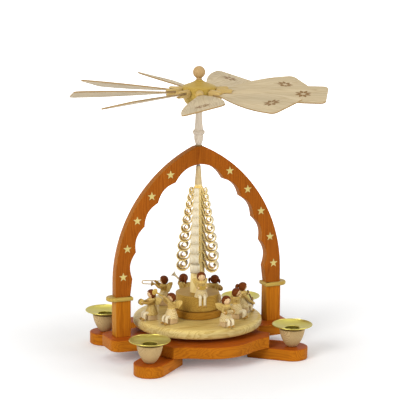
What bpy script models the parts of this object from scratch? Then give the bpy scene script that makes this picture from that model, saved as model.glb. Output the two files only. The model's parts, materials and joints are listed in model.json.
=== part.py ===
"""Table-top candle carousel: warm air turns a wheel of blades, its shaft and a disc of seated musicians.

The stand is a lobed base on four feet with a candle cup on each, two posts and a pointed arch.
Metres, +Z up, origin on the table under the shaft, front of the arch towards -Y.
"""
import math

import bmesh
import bpy
from mathutils import Matrix, Vector

OBJECT_NAME = "christmas_pyramid"

# Fits
SEAT = 0.0003
RUN = 0.0003
MERGE = 0.00001

# Feet and candle places
FOOT_THICK = 0.012
FOOT_WIDTH = 0.0325
FOOT_TAIL = 0.0433
FOOT_ANGLE = math.radians(42.0)
FOOT_EASE = 0.0007
CANDLE_X = 0.0789
CANDLE_Y = 0.0630

# Base plate, one quarter of its lobed outline
BASE_THICK = 0.012
BASE_FRONT = 0.0805
BULGE_HALF = 0.030
BULGE_RISE = 0.0100
SHOULDER_X = 0.053
SHOULDER_Y = 0.0625
SHOULDER_SWEEP = 0.0012
NOTCH_X = 0.061
NOTCH_Y = 0.047
LOBE_HALF = 0.0200
LOBE_ROOT_HALF = 0.0222
LOBE_END = 0.101
LOBE_RADIUS = 0.010

# Candle cup and drip plate
CUP_RIM_RADIUS = 0.0133
CUP_FOOT_RADIUS = 0.0046
CUP_HEIGHT = 0.0186
CUP_FLOOR = 0.0062
PLATE_RADIUS = 0.0209
PLATE_DISH = 0.0036
SHEET = 0.0006
SOCKET_RADIUS = 0.0073

# Posts, imposts and arch
POST_X = 0.0848
POST_WIDTH = 0.016
POST_DEPTH = 0.0135
POST_HEIGHT = 0.0371
POST_EASE = 0.0008
IMPOST_THICK = 0.004
IMPOST_OUT = 0.0082
IMPOST_IN = 0.002
IMPOST_FRONT = 0.0018
ARCH_THICK = 0.0105
ARCH_RADIUS = 0.1497
ARCH_LEG = 0.0129
ARCH_BAND = 0.0182
CROWN_FLAT = 0.004
CUSP_FIRST = math.radians(2.1)
CUSP_STEP = math.radians(12.05)
CUSP_COUNT = 5
SCALLOP_DEPTH = 0.0035

# Shaft and its bearings
SHAFT_RADIUS = 0.0015
SHAFT_TIP = 0.004
BEARING_RADIUS = 0.0045
BEARING_HEIGHT = 0.008
BEARING_CONE_RADIUS = 0.0024
BEARING_CONE_DEPTH = 0.0045
BUSH_RADIUS = 0.0027
BUSH_FLANGE_RADIUS = 0.0038
BUSH_FLANGE = 0.0008

# Turntable and podium
TABLE_RADIUS = 0.0669
TABLE_THICK = 0.010
TABLE_LIFT = 0.0042
TABLE_EASE = 0.0042
STEP_RADIUS = 0.0265
STEP_HEIGHT = 0.0072
DRUM_RADIUS = 0.0228
DRUM_HEIGHT = 0.0160
PODIUM_EASE = 0.0009

# Carved tree
TREE_HEADROOM = 0.0021
TREE_TURN = math.radians(-124.0)
TRUNK_FOOT_RADIUS = 0.0080
TRUNK_TOP_RADIUS = 0.0024
TRUNK_NECK = 0.0195
TRUNK_NECK_RADIUS = 0.0039
TIERS = 10
CURLS = 4
TIER_TOP_DROP = 0.0260
TIER_STEP = 0.0070
TIER_GROWTH = 0.00043
CURL_REACH_TOP = 0.0092
CURL_REACH_FOOT = 0.0214
CURL_WIDTH_TOP = 0.0045
CURL_WIDTH_FOOT = 0.0088
CURL_THICK = 0.0009
CURL_STATIONS = 8
CURL_START = math.radians(165.0)
CURL_SWEEP = math.radians(395.0)
CURL_SHRINK = 0.62
CURL_HALF_STEP = 0.46
CURL_BITE = 0.0012
FULL_REACH_AT = 0.85

# Wheel
SLEEVE_HEIGHT = 0.0385
SLEEVE_TOP_RADIUS = 0.0032
SLEEVE_BEAD_RADIUS = 0.0059
HUB_HEIGHT = 0.0280
HUB_RADIUS = 0.0173
HUB_BAND = 0.0125
HUB_NECK_RADIUS = 0.0032
HUB_WEB = 0.0015
PEG_LEVEL = 0.55
FINIAL_RADIUS = 0.0064
FINIAL_NECK = 0.0016
FINIAL_TENON_RADIUS = 0.0018
FINIAL_TENON = 0.0050
BLADE_COUNT = 9
BLADE_FIRST = math.radians(8.3)
BLADE_PITCH = math.radians(15.0)
PEG_RADIUS = 0.0043
PEG_TIP_RADIUS = 0.0036
PEG_END = 0.034
PEG_SHOULDER = 0.0012
TENON_RADIUS = 0.0024
TENON_DEPTH = 0.0072
BLADE_ROOT = 0.025
BLADE_TIP = 0.1305
BLADE_THICK = 0.0016
BLADE_ROOT_HALF = 0.0031
BLADE_HALF = 0.0215
BLADE_WIDEST = 0.116
BLADE_CORNER = 0.006

# Figures, seated height measured from the seat
FIGURE_BLOCK = 0.0055
FIGURE_BLOCK_SIDE = 0.0095
HEM_RADIUS = 0.0072
WAIST_RADIUS = 0.0035
WAIST_HEIGHT = 0.0106
SHOULDER_RADIUS = 0.0042
SHOULDER_HEIGHT = 0.0154
COLLAR_RISE = 0.0012
HEAD_RADIUS = 0.0048
HEAD_HEIGHT = 0.0216
NECK_RADIUS = 0.0020
LIMB_RADIUS = 0.0013
ARM_SPREAD = 0.0035
LEG_RADIUS = 0.0017
LEG_SPREAD = 0.0024
SHOE = 0.0035
HIP_HEIGHT = 0.0022
KNEE_HEIGHT = 0.0020
SHOE_RADIUS = 0.0019
KNEE_REACH = 0.0088
WING_LENGTH = 0.0095
WING_THICK = 0.0010
WING_RISE = math.radians(28.0)
WING_SPREAD = math.radians(52.0)
WING_BACK = 0.0030
WING_BITE = 0.0020
WING_HEIGHT = 0.0128

# Instruments; mouth and chest are places on a seated figure that looks along +X
MOUTH = Vector((0.0038, 0.0, HEAD_HEIGHT - 0.0014))
CHEST = Vector((0.0052, 0.0, SHOULDER_HEIGHT - 0.0025))
TUBE_RADIUS = 0.0009
SLIDE_RADIUS = 0.0006
BELL_RADIUS = 0.0034
BELL_LENGTH = 0.0048
TRUMPET_LENGTH = 0.0175
TRUMPET_RISE = math.radians(30.0)
SLIDE_LENGTH = 0.0195
SLIDE_DROP = 0.0036
LUTE_BOWL = (0.0021, 0.0046, 0.0033)
LUTE_NECK = 0.0115
CELLO_BODY = (0.0013, 0.0031, 0.0056)
CELLO_REACH = 0.0098
CELLO_HEIGHT = 0.0042
FLUTE_LENGTH = 0.0150
BELLOWS_SIDE = 0.0040
BELLOWS_HALF = 0.0046
CYMBAL_REACH = 0.0112
CYMBAL_GAP = 0.0024
CYMBAL_THICK = 0.0010
CYMBAL_RADIUS = 0.0032
BOOK_HALF = (0.0028, 0.0042, 0.0005)

# Each musician: place round the shaft in degrees, distance from it in percent of the turntable's radius,
# the way the figure looks in degrees, instrument
MUSICIANS = (
    ("figure_cymbals", -177.0, 79.2, -177.0, "cymbals"),
    ("figure_trumpet", -149.0, 68.8, -159.0, "trumpet"),
    ("figure_concertina", -82.0, 83.0, -82.0, "concertina"),
    ("figure_flute", -45.0, 64.3, -45.0, "flute"),
    ("figure_cello", -13.0, 71.7, -13.0, "cello"),
    ("figure_lute", 42.0, 65.8, 42.0, "lute"),
    ("figure_horn", 85.0, 70.3, 85.0, "horn"),
    ("figure_trombone", 112.0, 74.7, 150.0, "trombone"),
)
SINGER_ANGLE = math.radians(-104.0)
SINGER_RADIUS = 0.987 * DRUM_RADIUS
SINGER_SHIN = 0.0095

# Corners and sides of the stand, with the signs of X and Y
CORNERS = (
    ("front_left", -1, -1),
    ("front_right", 1, -1),
    ("rear_left", -1, 1),
    ("rear_right", 1, 1),
)
SIDES = (("left", -1), ("right", 1))

# Heights that follow from the sizes above
BASE_BOTTOM = FOOT_THICK + SEAT
BASE_TOP = BASE_BOTTOM + BASE_THICK
POST_BOTTOM = BASE_TOP + SEAT
IMPOST_BOTTOM = POST_BOTTOM + POST_HEIGHT + SEAT
ARCH_BOTTOM = IMPOST_BOTTOM + IMPOST_THICK + SEAT
ARCH_SPRING = ARCH_BOTTOM + ARCH_LEG
ARCH_OUTER_X = POST_X + POST_WIDTH / 2
ARCH_CENTRE_X = ARCH_OUTER_X - ARCH_RADIUS
CUSP_RADIUS = ARCH_RADIUS - ARCH_BAND
CROWN_ANGLE = math.acos((CROWN_FLAT - ARCH_CENTRE_X) / ARCH_RADIUS)
CROWN_TOP = ARCH_SPRING + ARCH_RADIUS * math.sin(CROWN_ANGLE)
VAULT_ANGLE = math.acos(-ARCH_CENTRE_X / CUSP_RADIUS)
VAULT_TOP = ARCH_SPRING + CUSP_RADIUS * math.sin(VAULT_ANGLE)
CUP_BOTTOM = FOOT_THICK + SEAT
CUP_TOP = CUP_BOTTOM + CUP_HEIGHT
CUP_BORE_FLOOR = CUP_BOTTOM + CUP_FLOOR
SOCKET_FLOOR = CUP_BORE_FLOOR + SEAT + SHEET
PLATE_THROAT = CUP_TOP + SEAT + SHEET
SHAFT_BORE = SHAFT_RADIUS + SEAT
TABLE_BOTTOM = BASE_TOP + TABLE_LIFT
TABLE_TOP = TABLE_BOTTOM + TABLE_THICK
STEP_BOTTOM = TABLE_TOP + SEAT
DRUM_BOTTOM = STEP_BOTTOM + STEP_HEIGHT + SEAT
DRUM_TOP = DRUM_BOTTOM + DRUM_HEIGHT
TREE_BOTTOM = DRUM_TOP + SEAT
TREE_TOP = VAULT_TOP - TREE_HEADROOM
TREE_HEIGHT = TREE_TOP - TREE_BOTTOM
SLEEVE_BOTTOM = CROWN_TOP + SEAT + BUSH_FLANGE + RUN
HUB_BOTTOM = SLEEVE_BOTTOM + SLEEVE_HEIGHT + SEAT
HUB_TOP = HUB_BOTTOM + HUB_HEIGHT
PEG_HEIGHT = HUB_BOTTOM + PEG_LEVEL * HUB_HEIGHT
FINIAL_BOTTOM = HUB_TOP + SEAT
SHAFT_BOTTOM = BASE_TOP - BEARING_CONE_DEPTH + RUN
SHAFT_TOP = HUB_TOP - FINIAL_TENON - HUB_WEB - 2 * SEAT


def clear_scene():
    """Start from an empty scene."""
    for obj in list(bpy.data.objects):
        bpy.data.objects.remove(obj, do_unlink=True)


def collection(name):
    """A new collection linked to the scene."""
    group = bpy.data.collections.new(name)
    bpy.context.scene.collection.children.link(group)
    return group


def finish(name, colour, roughness, metallic=0.0):
    """A plain Principled material."""
    material = bpy.data.materials.new(name)
    material.use_nodes = True
    shader = material.node_tree.nodes["Principled BSDF"]
    shader.inputs["Base Color"].default_value = (*colour, 1.0)
    shader.inputs["Roughness"].default_value = roughness
    shader.inputs["Metallic"].default_value = metallic
    return material


clear_scene()
PARTS = collection(OBJECT_NAME)
TOOLS = collection("cutters")
STAINED = finish("stained_wood", (0.42, 0.13, 0.02), 0.45)
NATURAL = finish("natural_wood", (0.60, 0.45, 0.22), 0.5)
PALE = finish("pale_wood", (0.66, 0.52, 0.31), 0.55)
HONEY = finish("honey_wood", (0.36, 0.17, 0.04), 0.45)
FIGURE = finish("figure_paint", (0.72, 0.60, 0.38), 0.5)
BRASS = finish("brass", (0.60, 0.52, 0.20), 0.3, 1.0)
STEEL = finish("steel", (0.30, 0.30, 0.31), 0.35, 1.0)


def empty(name, place=(0.0, 0.0, 0.0), turn=(0.0, 0.0, 0.0), parent=None):
    """An axis that pieces hang from."""
    axis = bpy.data.objects.new(name, None)
    axis.location = place
    axis.rotation_euler = turn
    axis.parent = parent
    PARTS.objects.link(axis)
    return axis


def piece(obj, material, parent=None):
    """File an object among the parts with its finish and the axis it moves with."""
    obj.data.materials.clear()
    obj.data.materials.append(material)
    obj.parent = parent
    PARTS.objects.link(obj)
    return obj


def tool(obj, owner):
    """File an object among the cutters, in the frame of the piece it works on."""
    obj.parent = owner
    obj.hide_render = True
    obj.display_type = "WIRE"
    TOOLS.objects.link(obj)
    return obj


def combine(owner, tools, operation):
    """Join or cut a piece with each tool in turn."""
    for index, other in enumerate(tools):
        change = owner.modifiers.new(f"{operation.lower()}_{index}", "BOOLEAN")
        change.operation = operation
        change.object = tool(other, owner)


def soften(obj, width, limit=50.0):
    """Ease the sharp edges of a piece."""
    bevel = obj.modifiers.new("eased_edges", "BEVEL")
    bevel.width = width
    bevel.segments = 1
    bevel.limit_method = "ANGLE"
    bevel.angle_limit = math.radians(limit)
    return obj


def from_bmesh(name, shape):
    """An object that holds a bmesh."""
    mesh = bpy.data.meshes.new(name)
    shape.to_mesh(mesh)
    shape.free()
    return bpy.data.objects.new(name, mesh)


def turned(name, profile, steps, ring=False):
    """Turn (radius, height) points, given down the outer side, about Z; a ring's profile is closed."""
    mesh = bpy.data.meshes.new(name)
    edges = [(i, i + 1) for i in range(len(profile) - 1)]
    if ring:
        edges.append((len(profile) - 1, 0))
    mesh.from_pydata([(radius, 0.0, height) for radius, height in profile], edges, [])
    obj = bpy.data.objects.new(name, mesh)
    screw = obj.modifiers.new("turned", "SCREW")
    screw.axis = "Z"
    screw.angle = 2 * math.pi
    screw.steps = steps
    screw.render_steps = steps
    screw.use_merge_vertices = True
    screw.merge_threshold = MERGE
    return obj


def solid_from_curve(name, curve):
    """Make a curve a welded mesh."""
    maker = bpy.data.objects.new(name + "_curve", curve)
    bpy.context.scene.collection.objects.link(maker)
    depsgraph = bpy.context.evaluated_depsgraph_get()
    mesh = bpy.data.meshes.new_from_object(maker.evaluated_get(depsgraph))
    bpy.data.objects.remove(maker, do_unlink=True)
    shape = bmesh.new()
    shape.from_mesh(mesh)
    bmesh.ops.remove_doubles(shape, verts=shape.verts, dist=MERGE)
    bpy.data.meshes.remove(mesh)
    return from_bmesh(name, shape)


def slab(name, outline, thickness):
    """A flat outline in XY, thickened evenly to both sides of its plane."""
    curve = bpy.data.curves.new(name, "CURVE")
    curve.dimensions = "2D"
    curve.fill_mode = "BOTH"
    curve.extrude = thickness / 2
    spline = curve.splines.new("POLY")
    spline.points.add(len(outline) - 1)
    for point, (x, y) in zip(spline.points, outline):
        point.co = (x, y, 0.0, 1.0)
    spline.use_cyclic_u = True
    return solid_from_curve(name, curve)


def rod(name, points, radius, resolution=1):
    """A round bar along points, with closed ends."""
    curve = bpy.data.curves.new(name, "CURVE")
    curve.dimensions = "3D"
    curve.bevel_depth = radius
    curve.bevel_resolution = resolution
    curve.use_fill_caps = True
    spline = curve.splines.new("POLY")
    spline.points.add(len(points) - 1)
    for point, place in zip(spline.points, points):
        point.co = (*place, 1.0)
    return solid_from_curve(name, curve)


def box(name, low, high):
    """A box between two corners."""
    low = Vector(low)
    high = Vector(high)
    shape = bmesh.new()
    bmesh.ops.create_cube(shape, size=1.0)
    bmesh.ops.scale(shape, vec=high - low, verts=shape.verts)
    bmesh.ops.translate(shape, vec=(low + high) / 2, verts=shape.verts)
    return from_bmesh(name, shape)


def ball(name, centre, radii, rings=5):
    """An ellipsoid."""
    shape = bmesh.new()
    bmesh.ops.create_uvsphere(shape, u_segments=2 * rings - 2, v_segments=rings, radius=1.0)
    bmesh.ops.scale(shape, vec=Vector(radii), verts=shape.verts)
    bmesh.ops.translate(shape, vec=Vector(centre), verts=shape.verts)
    return from_bmesh(name, shape)


def cone(name, start, end, start_radius, end_radius, sides=8):
    """A round taper from one point to another."""
    start = Vector(start)
    axis = Vector(end) - start
    shape = bmesh.new()
    bmesh.ops.create_cone(
        shape,
        cap_ends=True,
        segments=sides,
        radius1=start_radius,
        radius2=end_radius,
        depth=axis.length,
    )
    aim = Vector((0.0, 0.0, 1.0)).rotation_difference(axis).to_matrix().to_4x4()
    shape.transform(Matrix.Translation(start + axis / 2) @ aim)
    return from_bmesh(name, shape)


def arc(centre, radius, start, end, count):
    """Points along a circular arc, both ends included."""
    steps = [start + (end - start) * i / (count - 1) for i in range(count)]
    return [(centre[0] + radius * math.cos(a), centre[1] + radius * math.sin(a)) for a in steps]


def mirrored_loop(quarter):
    """A closed outline from its first quarter, given from the +Y axis round towards the +X axis."""
    half = quarter + [(x, -y) for x, y in reversed(quarter)]
    other = [(-x, y) for x, y in reversed(half[1:-1])]
    return list(reversed(half + other))


def feet(stand):
    """Four bars under the base, round under the candle and square inwards."""
    radius = FOOT_WIDTH / 2
    outline = [(-FOOT_TAIL, -radius)] + arc((0.0, 0.0), radius, -math.pi / 2, math.pi / 2, 11)
    outline += [(-FOOT_TAIL, radius)]
    for name, side, front in CORNERS:
        foot = soften(slab(f"foot_{name}", outline, FOOT_THICK), FOOT_EASE)
        foot.location = (side * CANDLE_X, front * CANDLE_Y, FOOT_THICK / 2)
        aim = math.atan2(front * math.sin(FOOT_ANGLE), side * math.cos(FOOT_ANGLE))
        foot.rotation_euler = (0.0, 0.0, aim)
        piece(foot, STAINED, stand)


def base_outline():
    """A bulged front, a swept shoulder, a notch over the foot and a round-cornered side lobe."""
    bulge_radius = (BULGE_HALF**2 + BULGE_RISE**2) / (2 * BULGE_RISE)
    reach = math.asin(BULGE_HALF / bulge_radius)
    centre = (0.0, BASE_FRONT - bulge_radius)
    quarter = arc(centre, bulge_radius, math.pi / 2, math.pi / 2 - reach, 8)
    start = Vector(quarter[-1])
    end = Vector((SHOULDER_X, SHOULDER_Y))
    inward = Vector((-(end - start).y, (end - start).x)).normalized() * -SHOULDER_SWEEP
    for share in (0.33, 0.67):
        quarter.append(tuple(start.lerp(end, share) + inward * 4 * share * (1 - share)))
    quarter.append(tuple(end))
    quarter.append((NOTCH_X, NOTCH_Y))
    quarter.append((SHOULDER_X, (NOTCH_Y + LOBE_ROOT_HALF) / 2))
    quarter.append((NOTCH_X, LOBE_ROOT_HALF))
    corner = (LOBE_END - LOBE_RADIUS, LOBE_HALF - LOBE_RADIUS)
    quarter += arc(corner, LOBE_RADIUS, math.pi / 2, 0.0, 6)
    return mirrored_loop(quarter)


def base_plate(stand):
    """The lobed board, bored from above for the bearing cup."""
    base = slab("base_plate", base_outline(), BASE_THICK)
    base.location = (0.0, 0.0, BASE_BOTTOM + BASE_THICK / 2)
    floor = BASE_THICK / 2 - BEARING_HEIGHT - SEAT
    radius = BEARING_RADIUS + SEAT
    bore = cone("bearing_bore", (0, 0, floor), (0, 0, BASE_THICK), radius, radius, 20)
    combine(base, [bore], "DIFFERENCE")
    piece(base, STAINED, stand)


def bearing_cup(stand):
    """A plug with a cone in which the shaft's point turns."""
    bottom = BASE_TOP - BEARING_HEIGHT
    profile = [
        (0.0, BASE_TOP - BEARING_CONE_DEPTH),
        (BEARING_CONE_RADIUS, BASE_TOP),
        (BEARING_RADIUS, BASE_TOP),
        (BEARING_RADIUS, bottom),
        (0.0, bottom),
    ]
    piece(turned("bearing_cup", profile, 16), STEEL, stand)


def cup_profile():
    """A tulip bowl with a blind bore for the candle socket."""
    bore = SOCKET_RADIUS + SHEET + SEAT
    shares = ((1.0, 1.0), (0.93, 0.80), (0.76, 0.53), (0.50, 0.27), (0.20, 0.08), (0.0, 0.0))
    span = CUP_RIM_RADIUS - CUP_FOOT_RADIUS
    profile = [(0.0, CUP_BORE_FLOOR), (bore, CUP_BORE_FLOOR), (bore, CUP_TOP)]
    profile += [(CUP_FOOT_RADIUS + span * wide, CUP_BOTTOM + CUP_HEIGHT * high) for wide, high in shares]
    return profile + [(0.0, CUP_BOTTOM)]


def plate_profile():
    """A dished drip plate with a rolled rim and a candle socket drawn down in its middle."""
    rim = PLATE_THROAT + PLATE_DISH
    seat = PLATE_THROAT + PLATE_DISH / 4
    outer = SOCKET_RADIUS + SHEET
    return [
        (0.0, SOCKET_FLOOR),
        (SOCKET_RADIUS, SOCKET_FLOOR),
        (SOCKET_RADIUS, PLATE_THROAT),
        (CUP_RIM_RADIUS, seat),
        (PLATE_RADIUS - 2 * SHEET, rim),
        (PLATE_RADIUS, rim + SHEET),
        (PLATE_RADIUS, rim - SHEET),
        (CUP_RIM_RADIUS, seat - SHEET),
        (outer, PLATE_THROAT - SHEET),
        (outer, SOCKET_FLOOR - SHEET),
        (0.0, SOCKET_FLOOR - SHEET),
    ]


def candle_places(stand):
    """A wooden cup and its brass drip plate on every foot."""
    for name, side, front in CORNERS:
        place = (side * CANDLE_X, front * CANDLE_Y, 0.0)
        cup = turned(f"candle_cup_{name}", cup_profile(), 18)
        cup.location = place
        piece(cup, PALE, stand)
        plate = turned(f"drip_plate_{name}", plate_profile(), 20)
        plate.location = place
        piece(plate, BRASS, stand)


def posts_and_imposts(stand):
    """Square posts, each with a thin plate on top that juts outwards with a round end."""
    half = POST_DEPTH / 2 + IMPOST_FRONT
    inner = -POST_WIDTH / 2 - IMPOST_IN
    round_x = POST_WIDTH / 2 + IMPOST_OUT - half
    outline = [(inner, -half)] + arc((round_x, 0.0), half, -math.pi / 2, math.pi / 2, 11)
    outline += [(inner, half)]
    for name, side in SIDES:
        corner = Vector((POST_WIDTH / 2, POST_DEPTH / 2, POST_HEIGHT / 2))
        post = soften(box(f"post_{name}", -corner, corner), POST_EASE)
        post.location = (side * POST_X, 0.0, POST_BOTTOM + POST_HEIGHT / 2)
        piece(post, STAINED, stand)
        impost = soften(slab(f"impost_{name}", outline, IMPOST_THICK), POST_EASE)
        impost.location = (side * POST_X, 0.0, IMPOST_BOTTOM + IMPOST_THICK / 2)
        impost.rotation_euler = (0.0, 0.0, 0.0 if side > 0 else math.pi)
        piece(impost, NATURAL, stand)


def arch_outline():
    """Half of a pointed arch: outer arc down to the leg, then up the scalloped inner edge."""
    half = arc((ARCH_CENTRE_X, ARCH_SPRING), ARCH_RADIUS, CROWN_ANGLE, 0.0, 19)
    half.append((ARCH_OUTER_X, ARCH_BOTTOM))
    half.append((ARCH_OUTER_X - POST_WIDTH, ARCH_BOTTOM))
    cusps = [CUSP_FIRST + CUSP_STEP * i for i in range(CUSP_COUNT)] + [VAULT_ANGLE]
    parts = 5
    for low, high in zip(cusps, cusps[1:]):
        for step in range(parts):
            share = step / parts
            radius = CUSP_RADIUS + SCALLOP_DEPTH * math.sin(math.pi * share)
            angle = low + (high - low) * share
            x = ARCH_CENTRE_X + radius * math.cos(angle)
            half.append((x, ARCH_SPRING + radius * math.sin(angle)))
    left = [(-x, z) for x, z in reversed(half)]
    return list(reversed(half + [(0.0, VAULT_TOP)] + left))


def arch(stand):
    """The arch board, drilled down through its crown for the bush."""
    board = slab("arch", arch_outline(), ARCH_THICK)
    board.data.transform(Matrix.Rotation(math.pi / 2, 4, "X"))
    radius = BUSH_RADIUS + SEAT
    below = VAULT_TOP - SCALLOP_DEPTH
    above = CROWN_TOP + BUSH_FLANGE
    hole = cone("bush_hole", (0, 0, below), (0, 0, above), radius, radius, 16)
    combine(board, [hole], "DIFFERENCE")
    piece(board, STAINED, stand)


def arch_bush(stand):
    """A flanged guide for the shaft in the crown of the arch."""
    bore = SHAFT_RADIUS + RUN
    flange_low = CROWN_TOP + SEAT
    flange_top = flange_low + BUSH_FLANGE
    profile = [
        (bore, flange_top),
        (BUSH_FLANGE_RADIUS, flange_top),
        (BUSH_FLANGE_RADIUS, flange_low),
        (BUSH_RADIUS, flange_low),
        (BUSH_RADIUS, VAULT_TOP),
        (bore, VAULT_TOP),
    ]
    piece(turned("arch_bush", profile, 12, ring=True), BRASS, stand)


def shaft(rotor):
    """A steel rod with a point below."""
    profile = [
        (0.0, SHAFT_TOP),
        (SHAFT_RADIUS, SHAFT_TOP),
        (SHAFT_RADIUS, SHAFT_BOTTOM + SHAFT_TIP),
        (0.0, SHAFT_BOTTOM),
    ]
    piece(turned("shaft", profile, 12), STEEL, rotor)


def bored_disc(name, radius, bottom, height, ease, steps, points):
    """A disc round the shaft with rounded edges."""
    top = bottom + height
    profile = [(SHAFT_BORE, top)]
    profile += arc((radius - ease, top - ease), ease, math.pi / 2, 0.0, points)
    profile += arc((radius - ease, bottom + ease), ease, 0.0, -math.pi / 2, points)
    profile += [(SHAFT_BORE, bottom)]
    return turned(name, profile, steps, ring=True)


def turntable_and_podium(rotor):
    """The disc that carries the figures and the stepped drum in its middle."""
    table = bored_disc("turntable", TABLE_RADIUS, TABLE_BOTTOM, TABLE_THICK, TABLE_EASE, 40, 4)
    piece(table, NATURAL, rotor)
    step = bored_disc("podium_step", STEP_RADIUS, STEP_BOTTOM, STEP_HEIGHT, PODIUM_EASE, 28, 2)
    piece(step, HONEY, rotor)
    drum = bored_disc("podium_drum", DRUM_RADIUS, DRUM_BOTTOM, DRUM_HEIGHT, PODIUM_EASE, 28, 2)
    piece(drum, HONEY, rotor)


def trunk_radius(height):
    """Radius of the trunk at a height above its foot."""
    neck = TREE_HEIGHT - TRUNK_NECK
    if height > neck:
        share = (height - neck) / TRUNK_NECK
        return TRUNK_NECK_RADIUS + (TRUNK_TOP_RADIUS - TRUNK_NECK_RADIUS) * share
    return TRUNK_FOOT_RADIUS + (TRUNK_NECK_RADIUS - TRUNK_FOOT_RADIUS) * height / neck


def curl_path(root, reach, half_height):
    """A shaving in its own upright plane: off the trunk, under, out, over and inwards again."""
    half_width = (reach - root) / 2
    path = []
    for station in range(CURL_STATIONS):
        share = station / (CURL_STATIONS - 1)
        angle = CURL_START + CURL_SWEEP * share
        size = 1.0 - CURL_SHRINK * share**1.3
        out = root + half_width * (1.0 + size * math.cos(angle))
        if station == 0:
            out -= CURL_BITE
        path.append((out, half_height * size * math.sin(angle)))
    return path


def add_ribbon(shape, path, width, height, turn):
    """A strip of even thickness along a path in the upright plane at an angle round the trunk."""
    frame = Matrix.Rotation(turn, 4, "Z")
    rows = []
    for index, (out, up) in enumerate(path):
        before = path[max(index - 1, 0)]
        after = path[min(index + 1, len(path) - 1)]
        along = Vector((after[0] - before[0], after[1] - before[1])).normalized()
        offset = Vector((-along.y, along.x)) * CURL_THICK / 2
        row = []
        for side, face in ((-1, -1), (1, -1), (1, 1), (-1, 1)):
            spot = Vector((out + face * offset.x, side * width / 2, height + up + face * offset.y))
            row.append(shape.verts.new(frame @ spot))
        rows.append(row)
    for first, second in zip(rows, rows[1:]):
        for i in range(4):
            shape.faces.new((first[i], first[(i + 1) % 4], second[(i + 1) % 4], second[i]))
    shape.faces.new(reversed(rows[0]))
    shape.faces.new(rows[-1])


def tree_curls():
    """All the shavings, larger towards the foot; the singer's head takes the lowest front place."""
    shape = bmesh.new()
    height = TREE_HEIGHT - TIER_TOP_DROP
    for tier in range(TIERS):
        share = tier / (TIERS - 1)
        step = TIER_STEP + TIER_GROWTH * tier
        reach = CURL_REACH_TOP + (CURL_REACH_FOOT - CURL_REACH_TOP) * min(share / FULL_REACH_AT, 1.0)
        width = CURL_WIDTH_TOP + (CURL_WIDTH_FOOT - CURL_WIDTH_TOP) * share
        path = curl_path(trunk_radius(height), reach, CURL_HALF_STEP * step)
        first = 1 if tier == TIERS - 1 else 0
        for side in range(first, CURLS):
            add_ribbon(shape, path, width, TREE_BOTTOM + height, TREE_TURN + side * 2 * math.pi / CURLS)
        height -= step
    bmesh.ops.recalc_face_normals(shape, faces=shape.faces)
    return from_bmesh("tree_curls", shape)


def tree(rotor):
    """A bored trunk with rings of curled shavings left standing on it."""
    heights = [TREE_HEIGHT, TREE_HEIGHT - TRUNK_NECK, 0.45 * TREE_HEIGHT, 0.0]
    profile = [(SHAFT_BORE, TREE_TOP)] + [(trunk_radius(h), TREE_BOTTOM + h) for h in heights]
    profile += [(SHAFT_BORE, TREE_BOTTOM)]
    trunk = turned("carved_tree", profile, 16, ring=True)
    combine(trunk, [tree_curls()], "UNION")
    piece(trunk, PALE, rotor)


def spindle_sleeve(rotor):
    """A turned sleeve between the arch and the hub, with a bead in its lower half."""
    shares = (
        (1.00, SLEEVE_TOP_RADIUS),
        (0.60, SLEEVE_TOP_RADIUS * 1.12),
        (0.40, SLEEVE_TOP_RADIUS * 1.42),
        (0.37, SLEEVE_BEAD_RADIUS * 0.92),
        (0.335, SLEEVE_BEAD_RADIUS),
        (0.30, SLEEVE_BEAD_RADIUS * 0.92),
        (0.26, SLEEVE_TOP_RADIUS * 1.25),
        (0.15, SLEEVE_TOP_RADIUS * 1.30),
        (0.00, SLEEVE_TOP_RADIUS * 0.86),
    )
    profile = [(SHAFT_BORE, SLEEVE_BOTTOM + SLEEVE_HEIGHT)]
    profile += [(radius, SLEEVE_BOTTOM + SLEEVE_HEIGHT * high) for high, radius in shares]
    profile += [(SHAFT_BORE, SLEEVE_BOTTOM)]
    piece(turned("spindle_sleeve", profile, 14, ring=True), PALE, rotor)


def hub(rotor):
    """A bell-topped hub: blind bore below, finial hole above, a tenon hole for every peg."""
    band_low = PEG_HEIGHT - HUB_BAND / 2
    band_top = PEG_HEIGHT + HUB_BAND / 2
    tenon_hole = FINIAL_TENON_RADIUS + SEAT
    tenon_floor = HUB_TOP - FINIAL_TENON - SEAT
    cap = HUB_TOP - band_top
    profile = [
        (0.0, tenon_floor),
        (tenon_hole, tenon_floor),
        (tenon_hole, HUB_TOP),
        (HUB_NECK_RADIUS, HUB_TOP),
        (0.45 * HUB_RADIUS, band_top + 0.55 * cap),
        (0.85 * HUB_RADIUS, band_top + 0.2 * cap),
        (HUB_RADIUS, band_top),
        (HUB_RADIUS, band_low),
        (0.75 * HUB_RADIUS, HUB_BOTTOM + 0.4 * (band_low - HUB_BOTTOM)),
        (0.35 * HUB_RADIUS, HUB_BOTTOM),
        (SHAFT_BORE, HUB_BOTTOM),
        (SHAFT_BORE, SHAFT_TOP + SEAT),
        (0.0, SHAFT_TOP + SEAT),
    ]
    body = turned("hub", profile, 27)
    holes = []
    radius = TENON_RADIUS + RUN
    for index in range(BLADE_COUNT):
        aim = Vector((math.cos(blade_angle(index)), math.sin(blade_angle(index)), 0.0))
        level = Vector((0.0, 0.0, PEG_HEIGHT))
        inner = level + aim * (HUB_RADIUS - TENON_DEPTH - SEAT)
        outer = level + aim * (HUB_RADIUS + TENON_DEPTH)
        holes.append(cone(f"peg_hole_{index + 1}", inner, outer, radius, radius, 10))
    combine(body, holes, "DIFFERENCE")
    piece(body, NATURAL, rotor)


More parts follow.
